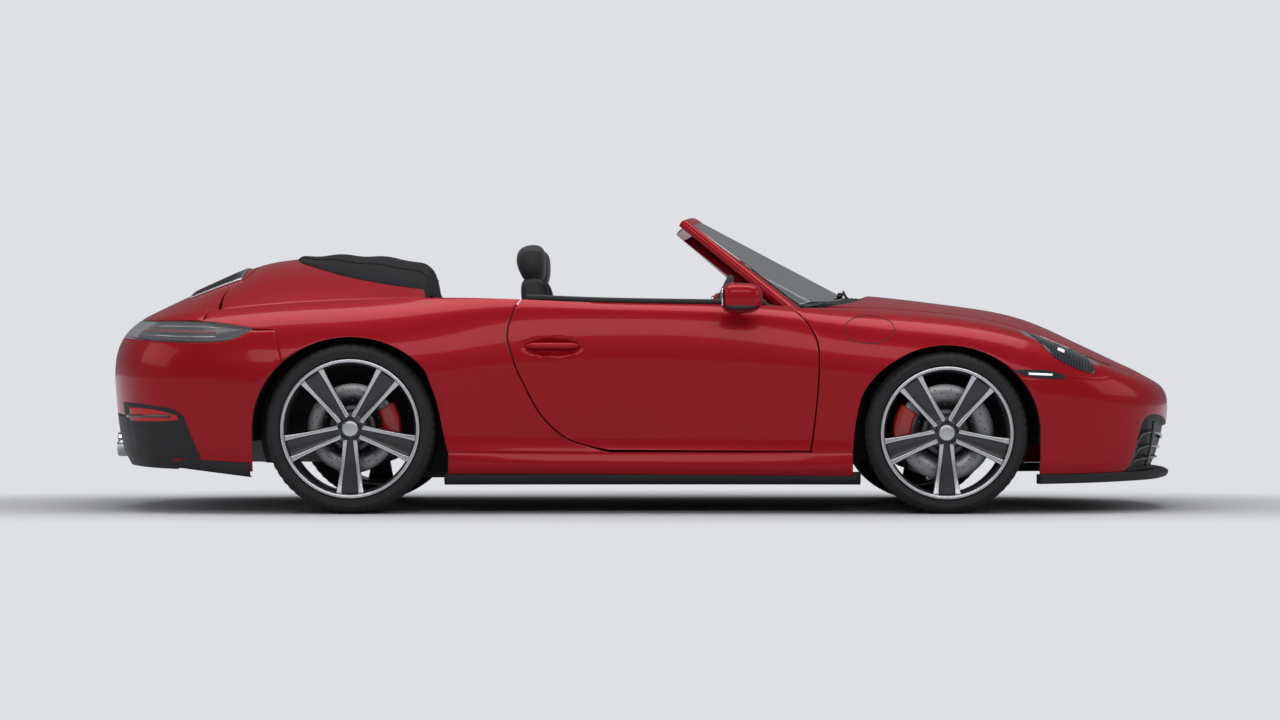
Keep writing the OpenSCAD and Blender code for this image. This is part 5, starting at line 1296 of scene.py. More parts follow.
    valve = lathe(f"{end}_valve_left", [[0.0, h - 0.046], [0.004, h - 0.046], [0.004, h - 0.020],
                                        [0.003, h - 0.016], [0.0, h - 0.016]], valve_at,
                  black_rubber, 12)
    # Brake disc with its bell, drilled in curved rows: the drillings are dark plugs just proud of both
    # faces, painted shade, and the disc itself is not cut
    dy = -disc_in
    disc = lathe(f"{end}_brake_disc_left", [[0.100, dy - disc_t / 2], [disc_r - 0.0015, dy - disc_t / 2],
                 [disc_r, dy - disc_t / 2 + 0.0015], [disc_r, dy - 0.004], [disc_r - 0.012, dy - 0.003],
                 [disc_r - 0.012, dy + 0.003], [disc_r, dy + 0.004], [disc_r, dy + disc_t / 2 - 0.0015],
                 [disc_r - 0.0015, dy + disc_t / 2], [0.100, dy + disc_t / 2]], centre, disc_steel,
                 128)
    bell = lathe(f"{end}_disc_bell_left", [[0.066, dy - 0.014], [0.101, dy - 0.014],
                 [0.101, dy + 0.010], [0.094, dy + 0.016], [0.078, dy + disc_t / 2 + 0.0015],
                 [0.066, dy + disc_t / 2 + 0.0015]], centre, dark_metal, 96)
    k, row_k = cell_rows(hole_lines, hole_rows)
    away = 0.112 + (disc_r - 0.124) * (row_k + 0.35) / hole_rows
    hole_a = 2 * np.pi * k / hole_lines + row_k * 0.16
    c = np.linspace(0, 2 * np.pi, hole_sides, endpoint=False)
    hx = x + (away * np.cos(hole_a))[:, None] + hole_r * np.cos(c)
    hz = r + (away * np.sin(hole_a))[:, None] + hole_r * np.sin(c)
    layers = [np.stack([hx, np.full(hx.shape, plane + dy + sign * (disc_t / 2 + disc_flare)), hz],
                       -1) for sign in (-1, 1)]
    at = np.concatenate(layers, 1).reshape(-1, 3)
    first = np.arange(len(k))[:, None] * 2 * hole_sides
    around = np.arange(hole_sides)
    nxt = (around + 1) % hole_sides
    caps = [first + around[None, ::-1], first + hole_sides + around[None]]
    walls = (first[:, :, None] + np.stack([around, nxt, nxt + hole_sides, around + hole_sides], -1)
             ).reshape(-1, 4)
    # dark plugs at each drilling, flush with the disc's faces: painted shade where the drillings show
    # dark
    hole_shade = piece(f"{end}_disc_holes_left", at, [caps[0], caps[1], walls], dark_metal, False)
    # Caliper over the disc: ahead of the rear axle, behind the front one
    a0, a1 = (-33, 33) if end == "rear" else (147, 213)
    inner, outer = disc_r - 0.060, disc_r + 0.018
    yy = disc_t / 2
    u_shape = [[inner, dy + yy + 0.004], [disc_r + 0.003, dy + yy + 0.004],
               [disc_r + 0.003, dy - yy - 0.004], [inner, dy - yy - 0.004], [inner, dy - yy - 0.022],
               [outer - 0.008, dy - yy - 0.024], [outer, dy - yy - 0.012], [outer, dy + yy + 0.012],
               [outer - 0.008, dy + yy + 0.024], [inner + 0.012, dy + yy + 0.025],
               [inner, dy + yy + 0.016]]
    caliper = rounded(lathe(f"{end}_brake_caliper_left", u_shape, centre, caliper_red, 40, a0, a1),
                      0.003, 3)
    wheel_body = [tyre, rim, *spokes, hub, cap, *bolts, valve, disc, bell, hole_shade]
    caliper_body = "body" if end == "rear" else "knuckle_left"
    for part in wheel_body:
        fit_pair(part, f"{end}_wheel_left", "tyre" if part is tyre else (
            "disc" if part in (disc, bell, hole_shade) else "rim"))
    fit_pair(caliper, caliper_body, "caliper_paint")
    for hand in ("left", "right"):
        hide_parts(f"{end}_tyre_{hand}")
        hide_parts(f"{end}_wheel_{hand}")
        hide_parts(f"{end}_disc_{hand}")
        if end == "front":
            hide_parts(f"front_caliper_{hand}")
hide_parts("rear_calipers")

# ---- Cabin floor, dashboard and console --------------------------------------------------------
# Padded dashboard skin with a cluster hood and air vents, a leather-covered tunnel console with a
# selector, and cut-pile carpet on the floor and tunnel.


# Cut-pile carpet: a fine matted noise for tone and height
carpet, tree, shader = material("carpet")
pile = node(tree, "TexNoise", {"Scale": 420.0, "Detail": 4.0, "Roughness": 0.7},
            Vector=node(tree, "TexCoord").outputs["Object"]).outputs["Fac"]
bump = node(tree, "Bump", {"Strength": 0.9, "Distance": 0.002}, Height=pile)
dress(tree, shader, {"Base Color": blend(tree, (0.006, 0.006, 0.007), (0.030, 0.030, 0.033), pile),
                     "Normal": bump.outputs[0], "Roughness": 0.95})


def swept(name, section, y0, y1, material, bulge=0.0, rows=25, power=6):
    """A side outline swept across the car: the outline is drawn in towards its own middle by a
    flat power curve of the distance from the centre line, so the ends are crowned."""
    section = np.asarray(section, float)
    middle = section.mean(0)
    t = np.linspace(-1, 1, rows)
    size = 1 - bulge * np.abs(t) ** power
    at = np.empty((rows, len(section), 3))
    at[..., 0] = middle[0] + (section[None, :, 0] - middle[0]) * size[:, None]
    at[..., 2] = middle[1] + (section[None, :, 1] - middle[1]) * size[:, None]
    at[..., 1] = ((y0 + y1) / 2 + (y1 - y0) / 2 * t)[:, None]
    return tidied(piece(name, at, ring_faces(rows - 1, len(section)), material))


def outline(points, n=96):
    """Closed smooth outline through side-view points given in millimetres of the base design."""
    p = np.asarray(points, float) / 1000
    return curve(np.vstack([p, p[:1]]), n)[:-1] + [shift_x, 0]


dash_line = [[840, 604], [838, 700], [834, 780], [770, 822], [700, 845], [630, 858], [560, 867],
             [505, 868], [474, 860], [446, 836], [434, 800], [444, 752], [462, 715], [490, 690],
             [516, 650], [524, 604], [600, 601], [700, 601], [790, 601]]
dash = swept("dash_body", outline(dash_line, 120), -0.560, 0.560, black_leather, bulge=0.02,
             rows=61, power=10)
fit(dash, "body", "trim", "dashboard")
hood_line = [[566, 860], [560, 895], [540, 905], [505, 906], [478, 900], [470, 884], [480, 860]]
hood = swept("cluster_hood", outline(hood_line, 48), 0.222, 0.518, black_leather, bulge=0.30,
             rows=31, power=4)
fit(hood, "body", "trim")
for k, y in enumerate((0.455, 0.385, 0.325, 0.268)):
    r = 0.030 if k != 1 else 0.042
    a = np.linspace(0, 2 * np.pi, 41)
    dial_x = 0.4705 + shift_x
    for j, (scale, push, made) in enumerate(((1.0, 0.0, polished_steel), (0.93, -0.0012, black_rubber))):
        rr = r * scale * np.array([0.0, 0.90, 1.0, 1.0])[:, None]
        at = np.stack([dial_x + push + np.array([-0.002, -0.002, -0.001, 0.01])[:, None] + 0 * a,
                       y + rr * np.cos(a), 0.850 + rr * 0.72 * np.sin(a)], -1)
        fit(wrapped(f"dial_{k}_{j}", at[::-1], made), "body", "trim")
for k, (y, w) in enumerate(((-0.480, 0.10), (-0.060, 0.075), (0.060, 0.075), (0.530, 0.05))):
    vent = box_mesh(f"vent_{k}", (0.433 + shift_x, y - w / 2, 0.776),
                    (0.446 + shift_x, y + w / 2, 0.822), gloss_black)
    fit(rounded(vent, 0.004, 3), "body", "trim")
    for j in range(4):
        z = 0.783 + 0.0105 * j
        line = [(0.4315 + shift_x, y - w / 2 + 0.006, z), (0.4315 + shift_x, y + w / 2 - 0.006, z)]
        fit(tube(f"vent_bar_{k}_{j}", line, 0.0022, satin_metal, 8), "body", "trim")
panel_line = tube("dash_trim", np.stack([0.4385 + shift_x + 0 * np.linspace(0, 1, 40),
                                        np.linspace(-0.545, 0.545, 40),
                                        0.755 + 0 * np.linspace(0, 1, 40)], 1), 0.010,
                  satin_metal, 12, 0.5)
fit(panel_line, "body", "trim")
screen_box = box_mesh("radio", (0.438 + shift_x, -0.105, 0.640), (0.470 + shift_x, 0.105, 0.742),
                      gloss_black)
fit(rounded(screen_box, 0.006, 3), "body", "trim")
for k in range(6):
    a = np.linspace(0, 2 * np.pi, 25)
    y = -0.085 + 0.034 * k
    rr = 0.009 * np.array([0.0, 0.9, 1.0, 1.0])[:, None]
    at = np.stack([0.4375 + shift_x + np.array([-0.010, -0.010, -0.009, 0.004])[:, None] + 0 * a,
                   y + rr * np.cos(a), 0.652 + rr * np.sin(a)], -1)
    fit(wrapped(f"radio_knob_{k}", at[::-1], satin_metal), "body", "trim")
console_line = [[-420, 331], [-424, 440], [-410, 500], [-380, 540], [-250, 552], [-120, 545],
                [-60, 500], [60, 486], [200, 484], [330, 500], [420, 540], [500, 600],
                [520, 470], [515, 400], [500, 331], [300, 330], [0, 330], [-200, 330]]
console = swept("console_body", outline(console_line, 110), -0.095, 0.095, black_leather,
                bulge=0.05, rows=21, power=6)
fit(console, "body", "trim", "centre_console")
gaiter = np.linspace(0, 1, 9)[:, None]
a = np.linspace(0, 2 * np.pi, 33)
r = 0.050 * (1 - gaiter) ** 1.3 + 0.009 + 0.003 * np.sin(gaiter * 24)
at = np.stack([0.180 + shift_x - 0.02 * gaiter + r * np.cos(a), 0 * gaiter + r * np.sin(a),
               0.484 + 0.085 * gaiter + 0 * a], -1)
fit(wrapped("lever_gaiter", at, black_leather), "body", "trim")
ball = np.linspace(-np.pi / 2, np.pi / 2, 17)[:, None]
at = np.stack([0.158 + shift_x + 0.024 * np.cos(ball) * np.cos(a),
               0.021 * np.cos(ball) * np.sin(a), 0.592 + 0.030 * np.sin(ball) + 0 * a], -1)
fit(wrapped("lever_knob", at, satin_metal), "body", "trim")
for k, y in enumerate((-0.045, 0.045)):
    rr = np.array([0.0, 0.030, 0.036, 0.036])[:, None]
    at = np.stack([0.010 + shift_x + rr * np.cos(a), y + rr * np.sin(a),
                   0.4875 + np.array([-0.001, -0.001, 0.003, -0.006])[:, None] + 0 * a], -1)
    fit(wrapped(f"cup_holder_{k}", at[::-1], satin_metal), "body", "trim")
brake = tube("parking_lever", [(-0.14 + shift_x, -0.030, 0.552), (-0.05 + shift_x, -0.032, 0.572),
                               (0.04 + shift_x, -0.034, 0.578)], 0.013, black_leather, 14)
fit(brake, "body", "trim")

# ---- Front seats -------------------------------------------------------------------------------
# Sports seats: thick side bolsters, a stitched insert of cross pipes and an integral headrest, in
# black leather on a plain base.
stitched = moulded("seat_insert", (0.040, 0.040, 0.042), (0.015, 0.015, 0.016), 0.6, 900, 0.6)


def cushion(name, section, y0, y1, material, ridges=None, rows=41, power=5, edge=0.22,
            n=150):
    """Padded form: an outline swept across the seat, rounded off at its ends by a power curve and
    dented along its length by shallow seams at given heights of the outline."""
    line = outline(section, n)
    middle = line.mean(0)
    t = np.linspace(-1, 1, rows)
    size = np.clip(1 - edge * np.abs(t) ** power - 0.02 * t ** 2, 0, 1)
    at = np.empty((rows, n, 3))
    grow = np.ones((rows, n))
    if ridges is not None:
        step = np.hypot(*(np.roll(line, -1, 0) - line).T).cumsum()
        for a, b, pitch in ridges:
            on = (step > a) & (step < b)
            wave = np.abs(np.sin(np.pi * (step - a) / pitch)) ** 0.6
            grow[:, on] += (0.016 * (wave[on] - 1))[None] * np.clip(
                (0.94 - np.abs(t)) / 0.06, 0, 1)[:, None]
    at[..., 0] = middle[0] + (line[None, :, 0] - middle[0]) * size[:, None] * grow
    at[..., 2] = middle[1] + (line[None, :, 1] - middle[1]) * size[:, None] * grow
    at[..., 1] = ((y0 + y1) / 2 + (y1 - y0) / 2 * t)[:, None]
    return tidied(piece(name, at, ring_faces(rows - 1, n), material))


back_line = [[-196, 404], [-222, 440], [-262, 480], [-300, 600], [-345, 760], [-395, 945],
             [-420, 978], [-455, 985], [-498, 962], [-500, 880], [-470, 700], [-430, 540],
             [-396, 425], [-340, 345], [-260, 338], [-200, 360]]
pad_line = [[158, 334], [186, 368], [190, 402], [172, 432], [130, 442], [20, 428], [-100, 412],
            [-180, 408], [-240, 420], [-262, 395], [-255, 345], [-180, 332], [0, 331], [100, 331]]
bolster_pad = [[138, 337], [168, 380], [170, 425], [140, 462], [60, 482], [-60, 492], [-150, 500],
               [-215, 520], [-262, 480], [-280, 400], [-270, 340], [-150, 334], [0, 334]]
bolster_back = [[-150, 494], [-180, 540], [-236, 680], [-292, 830], [-340, 885], [-400, 905],
                [-448, 890], [-470, 850], [-455, 700], [-410, 520], [-380, 410], [-330, 345],
                [-250, 350], [-180, 420]]
head_line = [[-416, 950], [-400, 1010], [-402, 1080], [-420, 1112], [-455, 1120], [-495, 1110],
             [-518, 1085], [-522, 1040], [-500, 985], [-470, 955]]
seat_y, seat_half, head_half, bolster_y, bolster_half = 0.370, 0.166, 0.125, 0.213, 0.037
for s, hand in sides:
    seat_mid = s * seat_y
    made = [cushion(f"seat_{q}_{hand}", line, seat_mid - seat_half, seat_mid + seat_half, stitched,
                    ridges=(pipes,), edge=0.05)
            for q, line, pipes in (("back", back_line, (0.10, 0.62, 0.075)),
                                   ("pad", pad_line, (0.14, 0.48, 0.075)))]
    made.append(cushion(f"seat_head_{hand}", head_line, seat_mid - head_half, seat_mid + head_half,
                        black_leather, edge=0.30, power=4, n=90))
    for q, off in (("in", -bolster_y * s), ("out", bolster_y * s)):
        for part, line, edge in (("side", bolster_pad, 0.24), ("wing", bolster_back, 0.26)):
            made.append(cushion(f"seat_{part}_{q}_{hand}", line, seat_mid + off - bolster_half,
                                seat_mid + off + bolster_half, black_leather, edge=edge,
                                power=2.4, rows=21, n=110))
    for part in made:
        fit(part, "body", "trim")
    seam_of = outline(back_line, 150)
    for q in (-1, 1):
        edge_y = seat_mid + q * 0.168
        line = np.stack([seam_of[8:64, 0] - 0.004, np.full(56, edge_y), seam_of[8:64, 1]], 1)
        fit(tube(f"seat_seam_{hand}_{(q + 1) // 2}", line, 0.0022, black_rubber, 6), "body", "trim")
    base = box_mesh(f"seat_base_{hand}", (-0.300 + shift_x, seat_mid - 0.200, 0.171),
                    (0.120 + shift_x, seat_mid + 0.200, 0.333), black_plastic)
    fit(rounded(base, 0.012, 3), "body", "trim")
    for q in (-1, 1):
        line = [(-0.315 + shift_x, seat_mid + q * 0.17, 0.180),
                (0.175 + shift_x, seat_mid + q * 0.17, 0.180)]
        fit(tube(f"seat_rail_{hand}_{(q + 1) // 2}", line, 0.009, satin_metal, 10), "body", "trim")
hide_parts("front_seats")

# ---- Rear seats and side trim ------------------------------------------------------------------
# Two small bucket cushions moulded in leather, between lined side panels.
rear_line = [[-560, 174], [-552, 330], [-556, 410], [-575, 432], [-700, 420], [-800, 408],
             [-822, 440], [-838, 600], [-852, 745], [-866, 778], [-890, 780], [-898, 760],
             [-899, 500], [-898, 176], [-750, 172]]
rear_seat_y, rear_seat_half = 0.365, 0.234
for s, hand in sides:
    part = cushion(f"rear_seat_{hand}", rear_line, s * rear_seat_y - rear_seat_half,
                   s * rear_seat_y + rear_seat_half, black_leather,
                   ridges=((0.32, 0.50, 0.09), (0.64, 0.92, 0.09)), edge=0.04, power=8)
    fit(part, "body", "trim")
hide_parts("rear_seats")
trim_parts = []
for s, hand in sides:
    lo, hi = sorted((s * 0.600, s * 0.700))
    trim_parts.append(rounded(box_mesh(f"rear_side_{hand}", (-0.820 + shift_x, lo, 0.380),
                                       (-0.560 + shift_x, hi, 0.884), black_leather), 0.020, 5))
shelf = swept("rear_shelf", outline([[-899, 781], [-899, 880], [-880, 890], [-850, 888],
                                     [-839, 870], [-840, 790], [-846, 781]], 60), -0.599, 0.599,
              black_leather, bulge=0.02, rows=31)
trim_parts.append(shelf)
for part in trim_parts:
    fit(part, "body", "trim")
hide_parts("cabin_trim")

# ---- Door cards --------------------------------------------------------------------------------
# Leather-skinned inner panels with a padded capping along the waist, a stitched middle field, a
# map pocket, an armrest with its pull and a bright inner handle.
for s, hand in sides:
    body = f"door_{hand}"
    x = np.linspace(-0.470, 0.520, 67)[:, None] + shift_x
    waist = np.interp(x, shut_line[:, 0], shut_line[:, 2]) + 0.0005
    up = np.linspace(0, 1, 41)[None]
    z = 0.300 + (waist + 0.011 - 0.300) * up
    away = np.maximum(np.abs(x - 0.02 - shift_x) / 0.43, np.abs(z - 0.680) / 0.085)
    field = np.clip((1.0 - away) / 0.08, 0, 1)
    pocket = np.clip((1.0 - np.maximum(np.abs(x - 0.1 - shift_x) / 0.33,
                                       np.abs(z - 0.430) / 0.075)) / 0.1, 0, 1)
    pipe = np.abs(np.sin(np.pi * (x - shift_x) / 0.055)) ** 0.5
    inner = 0.7205 - 0.004 * field * (0.3 + 0.7 * pipe) - 0.010 * pocket + 0.006 * (
        np.abs(z - 0.512) < 0.004)
    edge = np.clip(np.minimum(np.minimum(up, 1 - up) / 0.02,
                              np.minimum(x - x[0, 0], x[-1, 0] - x) / 0.014), 0, 1)
    inner = inner + 0.004 * (1 - edge)
    face = np.stack([x + 0 * z, s * inner, z], -1)
    back = np.stack([x + 0 * z, s * (0.7445 + 0 * z), z], -1)
    card = tidied(plate(f"card_panel_{hand}", face, back, black_leather))
    fit(card, body, "trim", f"door_card_{hand}")
    line_x = np.linspace(-0.468, 0.518, 50) + shift_x
    line_y = np.interp(line_x, shut_line[:, 0], shut_line[:, 1]) - 0.008
    line_z = np.interp(line_x, shut_line[:, 0], shut_line[:, 2]) + 0.0105
    part = np.linspace(0, 2 * np.pi, 28, endpoint=False)
    half_w = (line_y - 0.717) / 2
    ring_y = (line_y + 0.717)[:, None] / 2 + half_w[:, None] * np.sign(np.cos(part)) * np.abs(
        np.cos(part)) ** 0.35
    ring_z = line_z[:, None] + 0.0118 * np.sign(np.sin(part)) * np.abs(np.sin(part)) ** 0.55
    at = np.stack([line_x[:, None] + 0 * ring_y, s * ring_y, ring_z], -1)
    capping = tidied(piece(f"card_capping_{hand}", at, ring_faces(len(line_x) - 1, len(part)),
                           black_leather))
    rest = np.linspace(0, 1, 40)
    rest_x = -0.258 + 0.516 * rest + shift_x
    thick = np.sin(np.pi * np.clip(rest, 0.02, 0.98)) ** 0.25
    arm = np.stack([rest_x, s * (0.690 + 0 * rest), 0.585 + 0.008 * np.sin(np.pi * rest)], 1)
    armrest = tube(f"card_armrest_{hand}", arm, 0.0295 * thick, black_leather, 24, 0.82)
    pull = tube(f"card_pull_{hand}", [(0.06 + shift_x, s * 0.712, 0.622),
                                      (0.09 + shift_x, s * 0.690, 0.640),
                                      (0.16 + shift_x, s * 0.686, 0.648),
                                      (0.23 + shift_x, s * 0.690, 0.640),
                                      (0.26 + shift_x, s * 0.712, 0.622)], 0.009, satin_metal, 12)
    lever = tube(f"card_lever_{hand}", [(0.330 + shift_x, s * 0.712, 0.700),
                                        (0.345 + shift_x, s * 0.703, 0.701),
                                        (0.420 + shift_x, s * 0.703, 0.706)], 0.007,
                 polished_steel, 12, 1.4)
    a = np.linspace(0, 2 * np.pi, 41)
    rr = np.array([0.0, 0.062, 0.070, 0.072])[:, None]
    at = np.stack([0.400 + shift_x + rr * np.cos(a), s * (0.7125 + np.array(
        [0.0, 0.0, 0.002, 0.010])[:, None] + 0 * a), 0.440 + rr * np.sin(a)], -1)
    speaker = wrapped(f"card_speaker_{hand}", at, black_plastic)
    for part in (capping, armrest, pull, lever, speaker):
        fit(part, body, "trim")

# ---- Steering wheel ----------------------------------------------------------------------------
# Leather rim on a three-spoke cast frame with a padded hub cover, on a column with two stalks.
tilt = np.radians(24.0)
hub_at = np.array([0.330 + shift_x, 0.370, 0.835])
axle = np.array([-np.cos(tilt), 0, np.sin(tilt)])
side_way = np.array([0.0, -1.0, 0.0])
up_way = np.cross(side_way, axle) * -1


def on_wheel(a, r, rise):
    """Point at an angle and radius in the plane of the steering wheel, raised along its column."""
    a, r, rise = np.broadcast_arrays(np.asarray(a, float), np.asarray(r, float),
                                     np.asarray(rise, float))
    return hub_at + axle * rise[..., None] + side_way * (r * np.cos(a))[..., None] + up_way * (
        r * np.sin(a))[..., None]


n, m, rim_r, grip_r = 120, 20, 0.178, 0.0145
a = np.linspace(0, 2 * np.pi, n + 1)[:-1, None]
c = np.linspace(0, 2 * np.pi, m + 1)[None, :-1]
thumb = 1 + 0.10 * (np.exp(-((a - 0.5) / 0.16) ** 2) + np.exp(-((a - np.pi + 0.5) / 0.16) ** 2))
i, j = cell_rows(n, m)
at = on_wheel(a, rim_r + grip_r * thumb * np.cos(c), grip_r * thumb * np.sin(c))
k, next_row = (j + 1) % m, (i + 1) % n
faces = np.stack([i * m + j, i * m + k, next_row * m + k, next_row * m + j], 1)
wheel_rim = tidied(piece("steering_rim", at, [faces], black_leather))
ring = np.linspace(0, 2 * np.pi, 49)[None]
drop = np.array([0.0, 0.30, 0.62, 0.86, 0.97, 1.0, 0.96, 0.80, 0.0])[:, None]
rise = np.array([0.019, 0.0185, 0.017, 0.013, 0.006, -0.004, -0.016, -0.022, -0.022])[:, None]
pad = wrapped("steering_pad", on_wheel(ring, 0.062 * drop * (1 + 0.10 * np.cos(3 * (
    ring + np.pi / 2))), rise), black_leather)
cap = wrapped("steering_badge", on_wheel(ring, 0.019 * np.array([0.0, 0.8, 1.0, 1.0])[:, None],
                                         np.array([0.0210, 0.0208, 0.0195, 0.012])[:, None]),
              satin_metal)
column = wrapped("steering_column", on_wheel(ring, np.array([0.0, 0.030, 0.033, 0.036, 0.036, 0.0])[
    :, None], np.array([-0.018, -0.018, -0.030, -0.060, -0.150, -0.150])[:, None]), black_plastic)
wheel_parts = [wheel_rim, pad, cap, column]
for k, turn in enumerate((180, 270, 0)):
    reach = np.linspace(0.048, 0.172, 14)
    turn_a = np.radians(turn) + 0 * reach
    line = on_wheel(turn_a, reach, -0.004 + 0.004 * (reach / 0.172) ** 2)
    wheel_parts.append(tube(f"steering_spoke_{k}", line, np.linspace(0.021, 0.010, 14), satin_metal,
                            16, 0.32 if turn != 270 else 1.0))
for part in wheel_parts:
    fit(part, "steering_wheel", "trim")
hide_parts("steering_wheel")
for k, y in ((0, 0.470), (1, 0.270)):
    line = [(0.402 + shift_x, 0.370 + (0.03 if k == 0 else -0.03), 0.800),
            (0.396 + shift_x, y, 0.812), (0.392 + shift_x, y + (0.03 if k == 0 else -0.03), 0.816)]
    fit(tube(f"column_stalk_{k}", line, np.array([0.006, 0.006, 0.009]), black_plastic, 10), "body",
        "trim")

# ---- Floor pan, engine and axles ---------------------------------------------------------------
# Parts that keep their constructed form: seam-sealed, stone-chip-coated sheet steel, a cast engine
# block and cast axle parts.


def coated_steel(name, colour, speckle, roughness, scale):
    """Coated or cast metal: coarse speckle in tone and height over a broad dusty mottle."""
    made, tree, shader = material(name)
    place = node(tree, "TexCoord").outputs["Object"]
    coarse = node(tree, "TexNoise", {"Scale": scale, "Detail": 6.0, "Roughness": 0.65},
                  Vector=place).outputs["Fac"]
    broad = node(tree, "TexNoise", {"Scale": 3.0, "Detail": 4.0}, Vector=place)
    less = node(tree, "Math", {"operation": "MULTIPLY", 1: 0.4}, in0=coarse)
    part = node(tree, "Math", {"operation": "MULTIPLY_ADD", 1: 0.6}, in0=broad.outputs["Fac"],
                in2=less.outputs[0])
    bump = node(tree, "Bump", {"Strength": 0.5, "Distance": 0.0015}, Height=coarse)
    dress(tree, shader, {"Base Color": blend(tree, colour, speckle, part.outputs[0]),
                         "Roughness": scaled(tree, coarse, 0.3, roughness),
                         "Normal": bump.outputs[0]})
    return made


underseal = coated_steel("underseal", (0.022, 0.022, 0.023), (0.05, 0.05, 0.052), 0.55, 160.0)
cast_alloy = coated_steel("cast_alloy", (0.24, 0.24, 0.25), (0.42, 0.42, 0.43), 0.45, 220.0)
pressed = ("floor_pan", "centre_tunnel", "side_rails", "firewall", "rear_bulkhead", "luggage_tub")
cast = ("engine_block", "front_axle", "rear_axle", "knuckle_left", "knuckle_right")
for name in pressed + cast:
    kept = bpy.data.objects[name]
    kept.data.materials.clear()
    kept.data.materials.append(cast_alloy if name in cast else underseal)
cabin_floor = []
for s, hand in sides:
    for name, near, far, rear, low, high in (("floor", 0.111, 0.619, -0.780, 0.1705, 0.178),
                                             ("tunnel", 0.1105, 0.1155, -0.780, 0.178, 0.329),
                                             ("rail", 0.612, 0.6195, -0.555, 0.178, 0.340)):
        lo, hi = sorted((s * near, s * far))
        cabin_floor.append(box_mesh(f"carpet_{name}_{hand}", (rear + shift_x, lo, low),
                                    (0.832 + shift_x, hi, high), carpet))
    lo, hi = sorted((s * 0.150, s * 0.600))
    toe_line = np.array([[0.832, 0.178], [0.832, 0.560], [0.822, 0.560], [0.812, 0.300],
                         [0.770, 0.210], [0.700, 0.178]]) + [shift_x, 0]
    cabin_floor.append(swept(f"carpet_toe_{hand}", toe_line, lo, hi, carpet, rows=9))
for part in cabin_floor:
    fit(part, "body", "structure")
for k, (y, w) in enumerate(((0.520, 0.055), (0.400, 0.075), (0.300, 0.075))):
    pedal = box_mesh(f"pedal_{k}", (0.700 + shift_x, y - w / 2, 0.300 + (0.0 if k else -0.03)),
                     (0.712 + shift_x, y + w / 2, 0.365 + (0.0 if k else 0.03)), satin_metal)
    fit(rounded(pedal, 0.004, 3), "body", "trim")
    fit(tube(f"pedal_arm_{k}", [(0.706 + shift_x, y, 0.355), (0.720 + shift_x, y, 0.460),
                                (0.750 + shift_x, y, 0.590)], 0.007, dark_metal, 10), "body", "trim")

# ---- Wheel arch liners -------------------------------------------------------------------------
# Black moulded liners that follow each arch inside the panels.
for end, x, r, y_in in (("front", front_x, front_r, 0.470), ("rear", rear_x, rear_r, 0.560)):
    a = np.radians(np.linspace(-8, 188, 50))[:, None]
    for s, hand in sides:
        edge_q = hit(np.concatenate([x + (r + 0.050) * np.cos(a), np.maximum(
            r + (r + 0.026) * np.sin(a), 0.20)], 1))
        edge_y = np.abs(side(edge_q)[:, 1]) - 0.012
        part = np.linspace(0, 1, 9)[None]
        yy = y_in + (edge_y[:, None] - y_in) * part
        rib = 0.0015 * np.sin(part * 40)
        at = np.stack([x + (r + 0.051 + rib) * np.cos(a), s * yy,
                       r + (r + 0.0265 + rib) * np.sin(a)], -1)
        out = np.stack([x + (r + 0.0535) * np.cos(a) + 0 * part, s * yy,
                        r + (r + 0.029) * np.sin(a) + 0 * part], -1)
        liner = tidied(plate(f"{end}_liner_{hand}", at, out, black_plastic))
        fit(liner, "body", "black_plastic")

# ---- Small outer pieces ------------------------------------------------------------------------
# Moulded and glazed pieces let into the skin: lamp glass, side markers, fuel flap seam, and the
# unpainted black strips below the sills and behind the rear wheels.


def let_in(name, low, high, rise, finish, slot, rows):
    """Thin closed plate on the car's skin between two side-view lines of equal length in mm,
    its outer face raised along the skin's normal by rise; made for both sides."""
    part = np.linspace(0, 1, rows + 1)[None, :, None]
    low, high = (steps(curve(np.array(e) / 1000 + [shift_x, 0], 32), 32)[:, None]
                 for e in (low, high))
    q = hit(low * (1 - part) + high * part)
    made = tidied(plate(name + "_left", side(q) + rise * side_normal(q),
                        side(q) - 0.002 * side_normal(q), finish))
    rounded(made, min(rise, 0.0012), 2)
    fit_pair(made, "body", slot)


smoked_glass, tree, shader = material("smoked_lamp_glass")
place = node(tree, "TexCoord").outputs["Object"]
flutes = node(tree, "TexWave", {"Scale": 24.0, "Distortion": 0.6}, Vector=place)
depths = node(tree, "TexNoise", {"Scale": 14.0, "Detail": 3.0}, Vector=place)
mottled = node(tree, "Math", {"operation": "MULTIPLY"}, in0=flutes.outputs["Fac"],
               in1=depths.outputs["Fac"])
shade = blend(tree, (0.012, 0.013, 0.015), (0.075, 0.078, 0.085), mottled.outputs[0])
dimple = node(tree, "Bump", {"Strength": 0.12, "Distance": 0.0006}, Height=flutes.outputs["Fac"])
dress(tree, shader, {"Base Color": shade, "Normal": dimple.outputs[0], "Roughness": 0.14,
                     "Coat Weight": 0.6, "Coat Roughness": 0.03})

